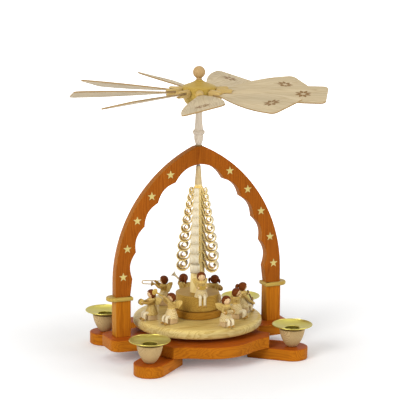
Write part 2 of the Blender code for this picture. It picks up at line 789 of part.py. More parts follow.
def finial_ball(rotor):
    """The ball on top of the hub, with its neck and tenon."""
    tenon_end = FINIAL_BOTTOM - FINIAL_TENON
    neck = 0.9 * HUB_NECK_RADIUS
    half = math.asin(neck / FINIAL_RADIUS)
    centre = FINIAL_BOTTOM + FINIAL_NECK + FINIAL_RADIUS * math.cos(half)
    profile = [(0.0, centre + FINIAL_RADIUS)]
    profile += arc((0.0, centre), FINIAL_RADIUS, math.radians(70), half - math.pi / 2, 8)
    profile += [
        (neck, FINIAL_BOTTOM),
        (FINIAL_TENON_RADIUS, FINIAL_BOTTOM),
        (FINIAL_TENON_RADIUS, tenon_end),
        (0.0, tenon_end),
    ]
    piece(turned("finial_ball", profile, 14), NATURAL, rotor)


def blade_angle(index):
    """Where a blade stands round the hub."""
    return BLADE_FIRST + index * 2 * math.pi / BLADE_COUNT


def blade_outline():
    """A narrow root that swells to a broad, nearly straight end with round corners."""
    side = [(BLADE_ROOT, BLADE_ROOT_HALF), (PEG_END, BLADE_ROOT_HALF)]
    steps = 6
    for step in range(1, steps + 1):
        share = step / steps
        x = PEG_END + (BLADE_WIDEST - PEG_END) * share
        swell = math.sin(share * math.pi / 2)
        side.append((x, BLADE_ROOT_HALF + (BLADE_HALF - BLADE_ROOT_HALF) * swell))
    corner = (BLADE_TIP - BLADE_CORNER, BLADE_HALF - BLADE_CORNER)
    side += arc(corner, BLADE_CORNER, math.pi / 2, 0.0, 4)
    return [(x, -y) for x, y in side] + list(reversed(side))


def peg_profile():
    """A plain tenon, a shoulder at the hub and a slow taper to the outer end."""
    start = HUB_RADIUS + RUN
    return [
        (0.0, PEG_END),
        (PEG_TIP_RADIUS, PEG_END),
        (PEG_RADIUS, start + PEG_SHOULDER),
        (PEG_RADIUS - PEG_SHOULDER / 2, start),
        (TENON_RADIUS, start),
        (TENON_RADIUS, HUB_RADIUS - TENON_DEPTH),
        (0.0, HUB_RADIUS - TENON_DEPTH),
    ]


def blades(rotor):
    """Nine slotted pegs that can be twisted in the hub, each with its thin blade."""
    for index in range(BLADE_COUNT):
        turn = (BLADE_PITCH, 0.0, blade_angle(index))
        axis = empty(f"blade_axis_{index + 1}", (0.0, 0.0, PEG_HEIGHT), turn, rotor)
        peg = turned(f"peg_{index + 1}", peg_profile(), 10)
        peg.rotation_euler = (0.0, math.pi / 2, 0.0)
        gap = BLADE_THICK / 2 + SEAT
        slot = box(
            f"peg_slot_{index + 1}",
            (-gap, -2 * PEG_RADIUS, BLADE_ROOT - SEAT),
            (gap, 2 * PEG_RADIUS, PEG_END + PEG_RADIUS),
        )
        combine(peg, [slot], "DIFFERENCE")
        piece(peg, NATURAL, axis)
        piece(slab(f"blade_{index + 1}", blade_outline(), BLADE_THICK), PALE, axis)


def figure_profile():
    """A seated child in a short bell skirt, from the crown of the head down to the seat."""
    head = arc((0.0, HEAD_HEIGHT), HEAD_RADIUS, math.radians(55), math.radians(-55), 4)
    collar = SHOULDER_HEIGHT + COLLAR_RISE
    return [(0.0, HEAD_HEIGHT + HEAD_RADIUS)] + head + [
        (NECK_RADIUS, (HEAD_HEIGHT - HEAD_RADIUS + collar) / 2),
        (0.62 * SHOULDER_RADIUS, collar),
        (SHOULDER_RADIUS, SHOULDER_HEIGHT),
        (WAIST_RADIUS, WAIST_HEIGHT),
        (0.72 * HEM_RADIUS, 0.55 * WAIST_HEIGHT),
        (HEM_RADIUS, 0.0),
        (0.0, 0.0),
    ]


def legs_and_shoes(label, shin):
    """Two bent legs that hang over the edge of the seat, with the shoes turned forwards."""
    made = []
    low = SHOE_RADIUS - shin
    for side in (-1, 1):
        y = side * LEG_SPREAD
        hip = (KNEE_REACH / 3, y, HIP_HEIGHT)
        knee = (KNEE_REACH, y, KNEE_HEIGHT)
        heel = (KNEE_REACH, y, low)
        toe = (KNEE_REACH + SHOE, y, low)
        made.append(rod(f"{label}_leg", [hip, knee, heel, toe], LEG_RADIUS))
    return made


def arms(label, left_hand, right_hand):
    """Two bent arms from the shoulders to the hands."""
    made = []
    for side, hand in ((1, left_hand), (-1, right_hand)):
        shoulder = Vector((LIMB_RADIUS / 4, side * ARM_SPREAD, SHOULDER_HEIGHT - LIMB_RADIUS))
        elbow = (shoulder + hand) / 2 + Vector((0.0, side * LIMB_RADIUS, -LIMB_RADIUS))
        made.append(rod(f"{label}_arm", [shoulder, elbow, hand], LIMB_RADIUS))
    return made


def wings(label):
    """Two leaf-shaped wings that spread upwards from the back."""
    width = 0.38 * WING_LENGTH
    leaf = [(0.0, -0.25 * width), (0.4 * WING_LENGTH, -width), (0.8 * WING_LENGTH, -0.9 * width)]
    leaf += [(WING_LENGTH, 0.0), (0.6 * WING_LENGTH, 0.75 * width), (0.0, 0.25 * width)]
    upright = Matrix.Rotation(math.pi / 2, 4, "X")
    rise = Matrix.Rotation(-WING_RISE, 4, "Y")
    made = []
    for side in (-1, 1):
        wing = slab(f"{label}_wing", [(x - WING_BITE, y) for x, y in leaf], WING_THICK)
        spread = Matrix.Rotation(math.pi - side * WING_SPREAD, 4, "Z")
        spot = Matrix.Translation((-WING_BACK, side * WING_THICK, WING_HEIGHT))
        wing.data.transform(spot @ spread @ rise @ upright)
        made.append(wing)
    return made


def belled_tube(label, points):
    """A tube along points that opens into a bell at its far end."""
    throat = points[-1]
    aim = (throat - points[-2]).normalized()
    tube = rod(f"{label}_tube", points[:-1] + [throat + aim * TUBE_RADIUS], TUBE_RADIUS)
    bell = cone(f"{label}_bell", throat, throat + aim * BELL_LENGTH, TUBE_RADIUS, BELL_RADIUS)
    return [tube, bell]


def trumpet(label):
    """A long straight horn raised from the mouth."""
    aim = Vector((math.cos(TRUMPET_RISE), 0.0, math.sin(TRUMPET_RISE)))
    throat = MOUTH + aim * TRUMPET_LENGTH
    made = belled_tube(label, [MOUTH, throat])
    return made, MOUTH.lerp(throat, 0.35), MOUTH.lerp(throat, 0.47)


def horn(label):
    """A short curved horn with a wide bell to one side."""
    bend = MOUTH + Vector((0.0050, 0.0012, -0.0024))
    throat = MOUTH + Vector((0.0072, 0.0046, 0.0008))
    made = belled_tube(label, [MOUTH, bend, throat])
    return made, MOUTH.lerp(bend, 0.95), MOUTH.lerp(bend, 0.75)


def trombone(label):
    """A long thin slide in front and a bell below the mouthpiece."""
    far = MOUTH + Vector((SLIDE_LENGTH, 0.0, 0.0))
    drop = Vector((0.0, 0.0, -SLIDE_DROP))
    near = MOUTH + drop + Vector((SLIDE_LENGTH / 4, 0.0, 0.0))
    bell_end = near + Vector((BELL_LENGTH, 0.0, 0.0))
    made = [
        rod(f"{label}_slide", [MOUTH, far, far + drop, near], SLIDE_RADIUS),
        cone(f"{label}_bell", near - drop / 8, bell_end, TUBE_RADIUS, BELL_RADIUS),
    ]
    return made, near + drop / 8, MOUTH.lerp(far, 0.3)


def lute(label):
    """A bowl-backed lute across the chest."""
    bowl = ball(f"{label}_bowl", (0.0, 0.0, 0.0), LUTE_BOWL)
    root = Vector((0.0, 0.6 * LUTE_BOWL[1], 0.0))
    head = Vector((0.0, LUTE_NECK, 0.0))
    neck = rod(f"{label}_neck", [root, head], TUBE_RADIUS)
    place = CHEST + Vector((0.0016, -0.0022, -0.0020))
    spot = Matrix.Translation(place) @ Matrix.Rotation(math.radians(20), 4, "X")
    for thing in (bowl, neck):
        thing.data.transform(spot)
    return [bowl, neck], spot @ root.lerp(head, 0.5), spot @ Vector((0.7 * LUTE_BOWL[0], 0.0, 0.0))


def cello(label):
    """A large fiddle held upright between the knees, with its bow."""
    body = Vector((CELLO_REACH, 0.0, CELLO_HEIGHT))
    chin = Vector((SHOULDER_RADIUS + LIMB_RADIUS, 0.0, SHOULDER_HEIGHT + LIMB_RADIUS))
    bow_hand = body + Vector((CELLO_BODY[0], -1.5 * CELLO_BODY[1], 0.0))
    bow_tip = body + Vector((CELLO_BODY[0], 1.5 * CELLO_BODY[1], 0.0))
    made = [
        ball(f"{label}_body", body, CELLO_BODY),
        rod(f"{label}_neck", [body, chin], TUBE_RADIUS),
        rod(f"{label}_bow", [bow_hand, bow_tip], SLIDE_RADIUS),
    ]
    return made, body.lerp(chin, 0.8), bow_hand


def flute(label):
    """A cross flute held to one side of the mouth."""
    start = MOUTH + Vector((TUBE_RADIUS, 0.2 * FLUTE_LENGTH, 0.0))
    end = start + Vector((0.15 * FLUTE_LENGTH, -FLUTE_LENGTH, -TUBE_RADIUS))
    made = [rod(f"{label}_tube", [start, end], TUBE_RADIUS)]
    return made, start.lerp(end, 0.42), start.lerp(end, 0.72)


def concertina(label):
    """Two end blocks and a bellows between the hands."""
    middle = CHEST + Vector((0.0012, 0.0, -0.0022))
    half = Vector((BELLOWS_SIDE / 2, BELLOWS_HALF, BELLOWS_SIDE / 2))
    made = [box(f"{label}_bellows", middle - half, middle + half)]
    hands = []
    for side in (-1, 1):
        centre = middle + Vector((0.0, side * BELLOWS_HALF, 0.0))
        block = Vector((0.65 * BELLOWS_SIDE, 0.2 * BELLOWS_SIDE, 0.65 * BELLOWS_SIDE))
        made.append(box(f"{label}_end", centre - block, centre + block))
        hands.append(centre + Vector((0.0, side * 0.25 * BELLOWS_SIDE, 0.0)))
    return made, hands[1], hands[0]


def cymbals(label):
    """Two small discs held out in front."""
    made = []
    hands = []
    for side in (-1, 1):
        back = Vector((CYMBAL_REACH, side * CYMBAL_GAP, SHOULDER_HEIGHT - LIMB_RADIUS))
        face = back - Vector((0.0, side * CYMBAL_THICK, 0.0))
        made.append(cone(f"{label}_disc", face, back, CYMBAL_RADIUS, LIMB_RADIUS, 10))
        hands.append(back)
    return made, hands[1], hands[0]


def songbook(label):
    """An open book in both hands."""
    corner = Vector(BOOK_HALF)
    page = box(f"{label}_book", -corner, corner)
    place = CHEST + Vector((0.0026, 0.0, -0.0016))
    spot = Matrix.Translation(place) @ Matrix.Rotation(math.radians(-58.0), 4, "Y")
    page.data.transform(spot)
    edge = Vector((0.0, BOOK_HALF[1], 0.0))
    return [page], spot @ edge, spot @ -edge


INSTRUMENTS = {
    "trumpet": trumpet,
    "horn": horn,
    "trombone": trombone,
    "lute": lute,
    "cello": cello,
    "flute": flute,
    "concertina": concertina,
    "cymbals": cymbals,
    "songbook": songbook,
}


def figure(rotor, name, angle, radius, seat, facing, instrument, shin, block):
    """One musician, glued down as a single carved and joined piece."""
    body = turned(name, figure_profile(), 10)
    body.location = (radius * math.cos(angle), radius * math.sin(angle), seat)
    body.rotation_euler = (0.0, 0.0, facing)
    things, left_hand, right_hand = INSTRUMENTS[instrument](name)
    things = legs_and_shoes(name, shin) + arms(name, left_hand, right_hand) + things + wings(name)
    if block:
        half = FIGURE_BLOCK_SIDE / 2
        top = LEG_RADIUS
        things.append(box(f"{name}_block", (-half, -half, -FIGURE_BLOCK), (half, half, top)))
    combine(body, things, "UNION")
    piece(body, FIGURE, rotor)


def figures(rotor):
    """Eight musicians on blocks round the turntable and one singer on the edge of the drum."""
    seat = TABLE_TOP + SEAT + FIGURE_BLOCK
    for name, degrees, percent, look, instrument in MUSICIANS:
        angle = math.radians(degrees)
        radius = percent / 100 * TABLE_RADIUS
        facing = math.radians(look)
        figure(rotor, name, angle, radius, seat, facing, instrument, FIGURE_BLOCK, True)
    perch = DRUM_TOP + SEAT
    facing = SINGER_ANGLE
    figure(rotor, "figure_singer", SINGER_ANGLE, SINGER_RADIUS, perch, facing, "songbook", SINGER_SHIN, False)


def build():
    """Set up the stand and everything that turns on it."""
    stand = empty("stand_origin")
    feet(stand)
    base_plate(stand)
    bearing_cup(stand)
    candle_places(stand)
    posts_and_imposts(stand)
    arch(stand)
    arch_bush(stand)
    rotor = empty("rotor_axis", parent=stand)
    shaft(rotor)
    turntable_and_podium(rotor)
    tree(rotor)
    spindle_sleeve(rotor)
    hub(rotor)
    finial_ball(rotor)
    blades(rotor)
    figures(rotor)


build()
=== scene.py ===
"""Looks for the candle carousel: smooth wooden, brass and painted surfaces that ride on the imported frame.

Lengths are millimetres until a mesh is made. Every vertex keeps two places: "grain", whose first axis runs
along the fibres of the wood it is cut from, and "local", its place on its own piece.
"""
import json
import math

import bpy
import numpy as np
from mathutils import Matrix, Vector


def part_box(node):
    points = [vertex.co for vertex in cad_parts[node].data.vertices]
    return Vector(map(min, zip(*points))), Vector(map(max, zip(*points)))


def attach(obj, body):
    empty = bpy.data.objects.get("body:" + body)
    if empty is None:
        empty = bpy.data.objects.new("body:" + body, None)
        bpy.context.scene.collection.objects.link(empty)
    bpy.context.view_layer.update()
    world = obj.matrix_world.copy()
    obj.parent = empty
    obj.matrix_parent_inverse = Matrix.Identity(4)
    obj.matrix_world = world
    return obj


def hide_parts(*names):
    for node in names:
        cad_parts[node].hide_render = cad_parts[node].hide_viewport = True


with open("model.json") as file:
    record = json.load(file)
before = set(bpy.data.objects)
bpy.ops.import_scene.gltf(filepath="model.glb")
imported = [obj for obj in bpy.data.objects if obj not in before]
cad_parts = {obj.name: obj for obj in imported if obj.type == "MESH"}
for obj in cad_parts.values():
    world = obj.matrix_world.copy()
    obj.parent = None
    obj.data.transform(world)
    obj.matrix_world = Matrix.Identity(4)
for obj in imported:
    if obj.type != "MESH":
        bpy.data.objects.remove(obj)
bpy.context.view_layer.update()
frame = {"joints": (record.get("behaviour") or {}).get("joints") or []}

MM = 0.001
FULL = 2 * math.pi
QUARTER = math.pi / 2
SHARP = math.radians(32)


def level(node):
    """Lowest and highest z of a node of the frame."""
    low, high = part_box(node)
    return low[2] / MM, high[2] / MM


def half_width(node):
    """Half the breadth along x of a node of the frame."""
    low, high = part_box(node)
    return (high[0] - low[0]) / 2 / MM


def plan(node):
    """Where the middle of a node of the frame stands on the table, as x and y."""
    low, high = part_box(node)
    return (low[0] + high[0]) / 2 / MM, (low[1] + high[1]) / 2 / MM


# Heights and radii that the frame's solids give
BASE_BOTTOM, BASE_TOP = level("base_plate")
FOOT_THICK = level("foot_front_left")[1]
CUP_BOTTOM, CUP_TOP = level("candle_cup_front_left")
PLATE_BOTTOM = level("drip_plate_front_left")[0]
IMPOST_BOTTOM, IMPOST_TOP = level("impost_left")
CROWN_TOP = level("arch")[1]
BEARING_BOTTOM = level("bearing_cup")[0]
BUSH_BOTTOM, BUSH_TOP = level("arch_bush")
SHAFT_BOTTOM, SHAFT_TOP = level("shaft")
TABLE_BOTTOM, TABLE_TOP = level("turntable")
STEP_BOTTOM, STEP_TOP = level("podium_step")
DRUM_BOTTOM, DRUM_TOP = level("podium_drum")
TREE_BOTTOM, TREE_TOP = level("carved_tree")
SLEEVE_BOTTOM, SLEEVE_TOP = level("spindle_sleeve")
HUB_BOTTOM, HUB_TOP = level("hub")
TABLE_RADIUS = half_width("turntable")
STEP_RADIUS = half_width("podium_step")
DRUM_RADIUS = half_width("podium_drum")
SHAFT_RADIUS = half_width("shaft")
BEARING_RADIUS = half_width("bearing_cup")
BUSH_FLANGE_RADIUS = half_width("arch_bush")
POST_HALF = half_width("post_left")
ARCH_OUTER = half_width("arch")
PITCHES = [joint for joint in frame["joints"] if joint["name"].endswith("_pitch")]
PEG_HEIGHT = PITCHES[0]["pos_m"][2] / MM

# Gaps: glued seats, joins that show, and the least that keeps a section open
SEAT = 0.3
SEAM = 0.05
LEAST = 0.001
BORE = SHAFT_RADIUS + SEAT

# Stand
CORNERS = {"front_left": (-1, -1), "front_right": (1, -1), "rear_left": (-1, 1), "rear_right": (1, 1)}
SIDES = {"left": -1, "right": 1}
BOARD_EASE = 0.7
FOOT_RADIUS = 16.25
FOOT_TAIL = 43.3
FOOT_ANGLE = math.radians(42)
CORNER_EASE = 0.8
BASE_FRONT = 80.5
BULGE_HALF = 30.0
BULGE_RISE = 10.0
SHOULDER_POINT = (53.0, 62.5)
SHOULDER_SWEEP = 1.2
SCOOP = ((61.0, 47.0), (53.0, 34.6), (61.0, 22.2))
LOBE_RADIUS = 10.0
LOBE_CENTRE = (91.0, 10.0)
BEARING_BORE = 4.8
BEARING_CONE = (2.4, 4.5)
POST_DEPTH_HALF = 6.75
POST_EASE = 0.9
POST_END_EASE = 0.5
IMPOST_HALF = 8.55
IMPOST_OUT = 16.2
IMPOST_IN = 10.0
IMPOST_EASE = 1.2
ARCH_BOTTOM = IMPOST_TOP + SEAM
ARCH_SPRING = IMPOST_TOP + 13.2
ARCH_RADIUS = 149.7
ARCH_CENTRE = ARCH_OUTER - ARCH_RADIUS
ARCH_HALF = 5.25
ARCH_LEG = 16.0
CROWN_HALF = 4.0
CROWN_HOLE = 3.0
CUSP_RADIUS = 131.5
CUSPS = np.radians(2.1 + 12.05 * np.arange(5))
SCALLOP = 3.5
STAR_POINT = 4.85
STAR_NOTCH = 1.85
STAR_THICK = 0.5
STAR_RADIUS = 141.8
STAR_ANGLES = np.radians((3.0, 14.85, 27.1, 38.8, 50.6))
CUP_RIM = 13.3
CUP_FOOT = 4.6
CUP_SHARES = ((1.0, 1.0), (0.93, 0.80), (0.76, 0.53), (0.50, 0.27), (0.20, 0.08), (0.0, 0.0))
SHEET = 0.6
SOCKET = 7.3
DISH_DEPTH = 3.6
DISH_RADIUS = 20.0
CURL_RADIUS = 0.55
BUSH_RADIUS = 2.7
SHAFT_POINT = 4.0

# Rotor
TABLE_EASE = 4.2
PODIUM_EASE = 0.9
TREE_HEIGHT = TREE_TOP - TREE_BOTTOM
TRUNK_FOOT = 8.0
TRUNK_NECK = 3.9
TRUNK_TOP = 2.4
TRUNK_NECK_DROP = 19.5
TIERS = 10
TIER_DROP = 26.0
TIER_STEP = 7.0
TIER_GROWTH = 0.43
ROWS = 4
FIRST_ROW = math.radians(-124)
FRONT_REACH = 15.5
ROLL_REACH = (9.2, 21.4)
ROLL_FULL_AT = 0.85
ROLL_HALF = 0.56
STRIP_WIDTH = (5.3, 10.6)
STRIP_THICK = (0.75, 0.45)
HUB_BAND_HALF = 6.25
HUB_RADIUS = 17.3
HUB_NECK = 3.2
BALL_RADIUS = 6.4
BALL_NECK = 2.88
BALL_NECK_HEIGHT = 1.6
BALL_TENON = (1.8, 5.0)
BALL_HOLE = (2.1, 5.25)
BLADE_PITCH = math.radians(15)
BLADE_ROOT = 25.0
BLADE_ROOT_HALF = 3.1
BLADE_HALF = 21.5
BLADE_WIDEST = 116.0
BLADE_TIP = 130.4
BLADE_CORNER = 6.0
BLADE_THICK = 1.6
BLADE_EASE = 0.45
PEG_START = 18.8
PEG_END = 34.0
PEG_RADIUS = (4.3, 3.6)
PEG_EASE = 0.8
SLOT_HALF = 1.1
PEG_TENON = (2.4, 10.1)
ROSETTE_PLACE = 106.0
ROSETTE_RADII = (1.6, 9.0)
PETALS = 8
PETAL_HALF = 1.9

# Figures: each looks along its own +x, with z from the seat
SHOULDER = 15.4
HEAD = np.array([0.0, 0.0, 21.6])
MOUTH = np.array([3.8, 0.0, 20.2])
CHEST = np.array([5.2, 0.0, 12.9])
WAIST = 10.3
HEM = 7.15
BLOCK_HALF = 4.75
BLOCK_HEIGHT = 5.5
SHIN = 5.5
LONG_SHIN = 9.5
LEG_SPREAD = 2.4
WING_LENGTH = 11.6
WING_BITE = 2.0
WING_HALF = 4.3
WING_PLACE = (-3.0, 1.0, 12.8)
WING_SPREAD = math.radians(52)
WING_RISE = math.radians(28)
BELL_RADIUS = 3.4
BELL_LENGTH = 4.8

# Room, in metres
FLOOR_HALF = 12.0
FLOOR_DROP = 0.0002
LAMPS = (
    ("key", (-3.0, -1.6, 1.8), (0, 0, 0.13), 1.8, 92),
    ("fill", (2.3, -2.9, 1.2), (0, 0, 0.13), 2.4, 66),
    ("top", (0.2, 0.6, 3.2), (0, 0, 0.15), 2.0, 16),
)
CAMERA_PLACE = (-0.7014, -1.6036, 0.5131)
CAMERA_AIM = (0.0017, -0.0007, 0.1595)
CAMERA_ROLL = math.radians(0.4213)
CAMERA_LENS = 156.26
CAMERA_SENSOR = 36


# Shapes: arrays of points over two parameters

def smooth(points, count):
    """Points along a Catmull-Rom curve through the given ones, evenly spread over its spans."""
    points = np.asarray(points, float)
    padded = np.vstack([2 * points[0] - points[1], points, 2 * points[-1] - points[-2]])
    place = np.linspace(0, len(points) - 1, count)
    span = np.minimum(place.astype(int), len(points) - 2)
    t = (place - span)[:, None]
    a, b, c, d = (padded[span + i] for i in range(4))
    return 0.5 * (2 * b + (c - a) * t + (2 * a - 5 * b + 4 * c - d) * t**2 + (3 * b - a - 3 * c + d) * t**3)


def eased(points, size, steps=5, closed=False):
    """A polyline whose corners become small parabolas that start and end `size` from the corner."""
    points = np.asarray(points, float)
    corners = points if closed else points[1:-1]
    before = (np.roll(points, 1, 0) if closed else points[:-2]) - corners
    after = (np.roll(points, -1, 0) if closed else points[2:]) - corners
    lengths = [np.linalg.norm(side, axis=1, keepdims=True) for side in (before, after)]
    reach = np.minimum(size, 0.45 * np.minimum(*lengths))
    start = (corners + before / lengths[0] * reach)[:, None]
    end = (corners + after / lengths[1] * reach)[:, None]
    t = np.linspace(0, 1, steps)[:, None]
    curves = (1 - t) ** 2 * start + 2 * t * (1 - t) * corners[:, None] + t**2 * end
    curves = curves.reshape(-1, points.shape[1])
    return curves if closed else np.vstack([points[:1], curves, points[-1:]])


def lathe(profile, sides=72):
    """A (radius, height) profile turned about the z axis."""
    profile = np.asarray(profile, float)
    around = np.linspace(0, FULL, sides, endpoint=False)
    radius = np.maximum(profile[:, :1], 0.01)
    height = np.broadcast_to(profile[:, 1:2], (len(profile), sides))
    return np.stack([radius * np.cos(around), radius * np.sin(around), height], -1)


def tube(path, radius, sides=16):
    """A circle of the given radius carried along a path without twist."""
    path = np.asarray(path, float)
    radius = np.broadcast_to(radius, len(path))
    tangent = np.gradient(path, axis=0)
    tangent /= np.linalg.norm(tangent, axis=1, keepdims=True)
    up = np.zeros_like(path)
    carried = np.eye(3)[np.argmin(np.abs(tangent[0]))]
    for i, along in enumerate(tangent):
        carried = carried - along * (carried @ along)
        carried = carried / np.linalg.norm(carried)
        up[i] = carried
    side = np.cross(tangent, up)
    around = np.linspace(0, FULL, sides, endpoint=False)[:, None]
    ring = up[:, None] * np.cos(around) + side[:, None] * np.sin(around)
    return path[:, None] + ring * radius[:, None, None]


def ellipsoid(centre, radii, rows=20, sides=28):
    """A sphere of latitude rows, stretched along the three axes."""
    polar = np.linspace(0.004, math.pi - 0.004, rows)
    around = np.linspace(0, FULL, sides, endpoint=False)
    ball = np.stack([
        np.outer(np.sin(polar), np.cos(around)),
        np.outer(np.sin(polar), np.sin(around)),
        np.outer(np.cos(polar), np.ones(sides)),
    ], -1)
    return ball * np.asarray(radii, float) + np.asarray(centre, float)


def inset(outline, distance):
    """A counter-clockwise outline moved inwards by a distance along its mitred normals."""
    edges = (outline - np.roll(outline, 1, 0), np.roll(outline, -1, 0) - outline)
    normals = [np.stack([-edge[:, 1], edge[:, 0]], -1) for edge in edges]
    before, after = (normal / np.linalg.norm(normal, axis=1, keepdims=True) for normal in normals)
    dot = np.sum(before * after, 1, keepdims=True)
    return outline + distance * (before + after) / np.maximum(1 + dot, 0.5)


def board(outline, thickness, ease):
    """Rings of a flat outline from the lower face, round its eased edge, to the upper face."""
    steps = np.linspace(0, QUARTER, 5)
    lower = ease * (1 - np.sin(steps))
    rise = ease * (1 - np.cos(steps))
    half = thickness / 2
    insets = np.concatenate([[2 * ease], lower, lower[::-1], [2 * ease]])
    heights = np.concatenate([[-half], rise - half, half - rise[::-1], [half]])
    rings = np.array([inset(outline, distance) for distance in insets])
    return np.dstack([rings, np.broadcast_to(heights[:, None], rings.shape[:2])])


def arc(centre, radius, start, end, count):
    """Points along a circular arc, ends included."""
    angle = np.linspace(start, end, count)
    return np.stack([centre[0] + radius * np.cos(angle), centre[1] + radius * np.sin(angle)], -1)


def rectangle(low, high, ease, steps=5):
    """A rectangle between two opposite corners, counter-clockwise, with its corners eased."""
    return eased([low, (high[0], low[1]), high, (low[0], high[1])], ease, steps, closed=True)


def tongue(tail, nose, half, count, ease):
    """A bar from a square tail to a round nose along x, with eased corners at the tail."""
    end = arc((nose - half, 0), half, -QUARTER, QUARTER, count)
    return eased(np.vstack([[(tail, -half)], end, [(tail, half)]]), ease, closed=True)


def rotation(axis, angle):
    """A turn about x, y or z as a 3 x 3 array."""
    c, s = math.cos(angle), math.sin(angle)
    shift = "xyz".index(axis)
    return np.roll(np.array([[1.0, 0, 0], [0, c, -s], [0, s, c]]), (shift, shift), (0, 1))


class Piece:
    """Closed surfaces gathered into one mesh; the place of each in the world and its fibres go with it."""

    made = 0

    def __init__(self, turn=None, shift=(0, 0, 0), fibres="xyz"):
        Piece.made += 1
        self.turn = np.eye(3) if turn is None else turn
        self.shift = np.asarray(shift, float)
        self.order = ["xyz".index(axis) for axis in fibres]
        self.plank = np.array([37.0, 11.3, 7.7]) * Piece.made
        self.points = []
        self.faces = []
        self.finishes = []
        self.tints = []
        self.count = 0

    def tint(self, finish, cols):
        """The finish's number on this piece for each column; finish is one material or one per column."""
        each = [finish] * cols if isinstance(finish, bpy.types.Material) else finish
        self.finishes += [material for material in dict.fromkeys(each) if material not in self.finishes]
        return np.array([self.finishes.index(material) for material in each], np.int32)

    def add(self, points, finish, ring=False):
        """Quads over rows of loops. A ring's last row meets its first, and other ends are closed by a fan."""
        rows, cols = points.shape[:2]
        index = np.arange(rows * cols).reshape(rows, cols)
        below = index if ring else index[:-1]
        above = np.roll(index, -1, 0) if ring else index[1:]
        quads = np.stack([below, np.roll(below, -1, 1), np.roll(above, -1, 1), above], -1).reshape(-1, 4)
        flat = points.reshape(-1, 3)
        fans = np.zeros((0, 3), int)
        if not ring:
            centres = np.full((2, cols), len(flat)) + [[0], [1]]
            flat = np.vstack([flat, points[0].mean(0), points[-1].mean(0)])
            start = np.stack([np.roll(index[0], -1), index[0], centres[0]], -1)
            end = np.stack([index[-1], np.roll(index[-1], -1), centres[1]], -1)
            fans = np.vstack([start, end])
        corners = flat[np.vstack([quads[:, :3], quads[:, [0, 2, 3]], fans])]
        if np.einsum("ij,ij->", corners[:, 0], np.cross(corners[:, 1], corners[:, 2])) < 0:
            quads = quads[:, ::-1]
            fans = fans[:, ::-1]
        self.points.append(flat)
        self.faces += [quads + self.count, fans + self.count]
        self.tints.append(np.tile(self.tint(finish, cols), (len(quads) + len(fans)) // cols))
        self.count += len(flat)

    def mesh(self, name):
        """The gathered surfaces as a mesh with its materials, its sharp edges and the two places."""
        mesh = bpy.data.meshes.new(name)
        local = np.concatenate(self.points)
        world = (local @ self.turn.T + self.shift) * MM
        corners = np.concatenate([faces.ravel() for faces in self.faces])
        totals = np.concatenate([np.full(len(faces), faces.shape[1]) for faces in self.faces])
        mesh.vertices.add(len(world))
        mesh.vertices.foreach_set("co", world.astype(np.float32).ravel())
        mesh.loops.add(len(corners))
        mesh.loops.foreach_set("vertex_index", corners.astype(np.int32))
        mesh.polygons.add(len(totals))
        mesh.polygons.foreach_set("loop_start", (np.cumsum(totals) - totals).astype(np.int32))
        mesh.polygons.foreach_set("loop_total", totals.astype(np.int32))
        for material in self.finishes:
            mesh.materials.append(material)
        mesh.polygons.foreach_set("material_index", np.concatenate(self.tints))
        mesh.update(calc_edges=True)
        for label, places in (("grain", local[:, self.order] + self.plank), ("local", local)):
            store = mesh.attributes.new(label, "FLOAT_VECTOR", "POINT")
            store.data.foreach_set("vector", places.astype(np.float32).ravel())
        mesh.shade_smooth()
        mesh.set_sharp_from_angle(angle=SHARP)
        return mesh

    def done(self, name, body, slot, *nodes):
        """Hang the mesh on its body and let it stand for its nodes."""
        obj = bpy.data.objects.new(name, self.mesh(name))
        bpy.context.scene.collection.objects.link(obj)
        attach(obj, body)
        if nodes:
            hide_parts(*nodes)


# Materials

def put(tree, kind, inputs=None, **settings):
    """A node with its settings and its inputs, each a value or another node's socket."""
    made = tree.nodes.new(kind)
    for key, value in settings.items():
        setattr(made, key, value)
    for key, value in (inputs or {}).items():
        if isinstance(value, bpy.types.NodeSocket):
            tree.links.new(value, made.inputs[key])
        else:
            made.inputs[key].default_value = value
    return made


def maths(tree, operation, *values):
    """The result of a math node."""
    return put(tree, "ShaderNodeMath", dict(enumerate(values)), operation=operation).outputs[0]


def ramp(tree, value, low, high, at_low, at_high):
    """A value that goes from at_low to at_high while another goes from low to high."""
    return put(tree, "ShaderNodeMapRange", {0: value, 1: low, 2: high, 3: at_low, 4: at_high}).outputs[0]


def mixed(tree, factor, first, second, blend="MIX"):
    """The result of a colour mix."""
    made = put(tree, "ShaderNodeMix", {0: factor, 6: first, 7: second}, data_type="RGBA", blend_type=blend)
    return made.outputs[2]


def axes(tree, vector):
    """The three parts of a vector."""
    return put(tree, "ShaderNodeSeparateXYZ", {0: vector}).outputs


def noise(tree, place, scale, detail):
    """Cloudy values about one half."""
    return put(tree, "ShaderNodeTexNoise", {"Vector": place, "Scale": scale, "Detail": detail}).outputs["Fac"]


def held(tree, value):
    """A value kept between zero and one."""
    return put(tree, "ShaderNodeClamp", {0: value}).outputs[0]


def bumped(tree, height, strength, distance):
    """A normal that follows fine heights."""
    given = {"Height": height, "Strength": strength, "Distance": distance}
    return put(tree, "ShaderNodeBump", given).outputs[0]


def attribute(tree, name):
    """The vector of a mesh attribute."""
    return put(tree, "ShaderNodeAttribute", attribute_name=name).outputs["Vector"]


def group(name, inputs, outputs):
    """A node group with its sockets; returns its tree, what it is given and what it puts out."""
    tree = bpy.data.node_groups.new(name, "ShaderNodeTree")
    for label, kind in inputs.items():
        tree.interface.new_socket(label, in_out="INPUT", socket_type=f"NodeSocket{kind}")
    for label, kind in outputs.items():
        tree.interface.new_socket(label, in_out="OUTPUT", socket_type=f"NodeSocket{kind}")
    return tree, tree.nodes.new("NodeGroupInput").outputs, tree.nodes.new("NodeGroupOutput").inputs


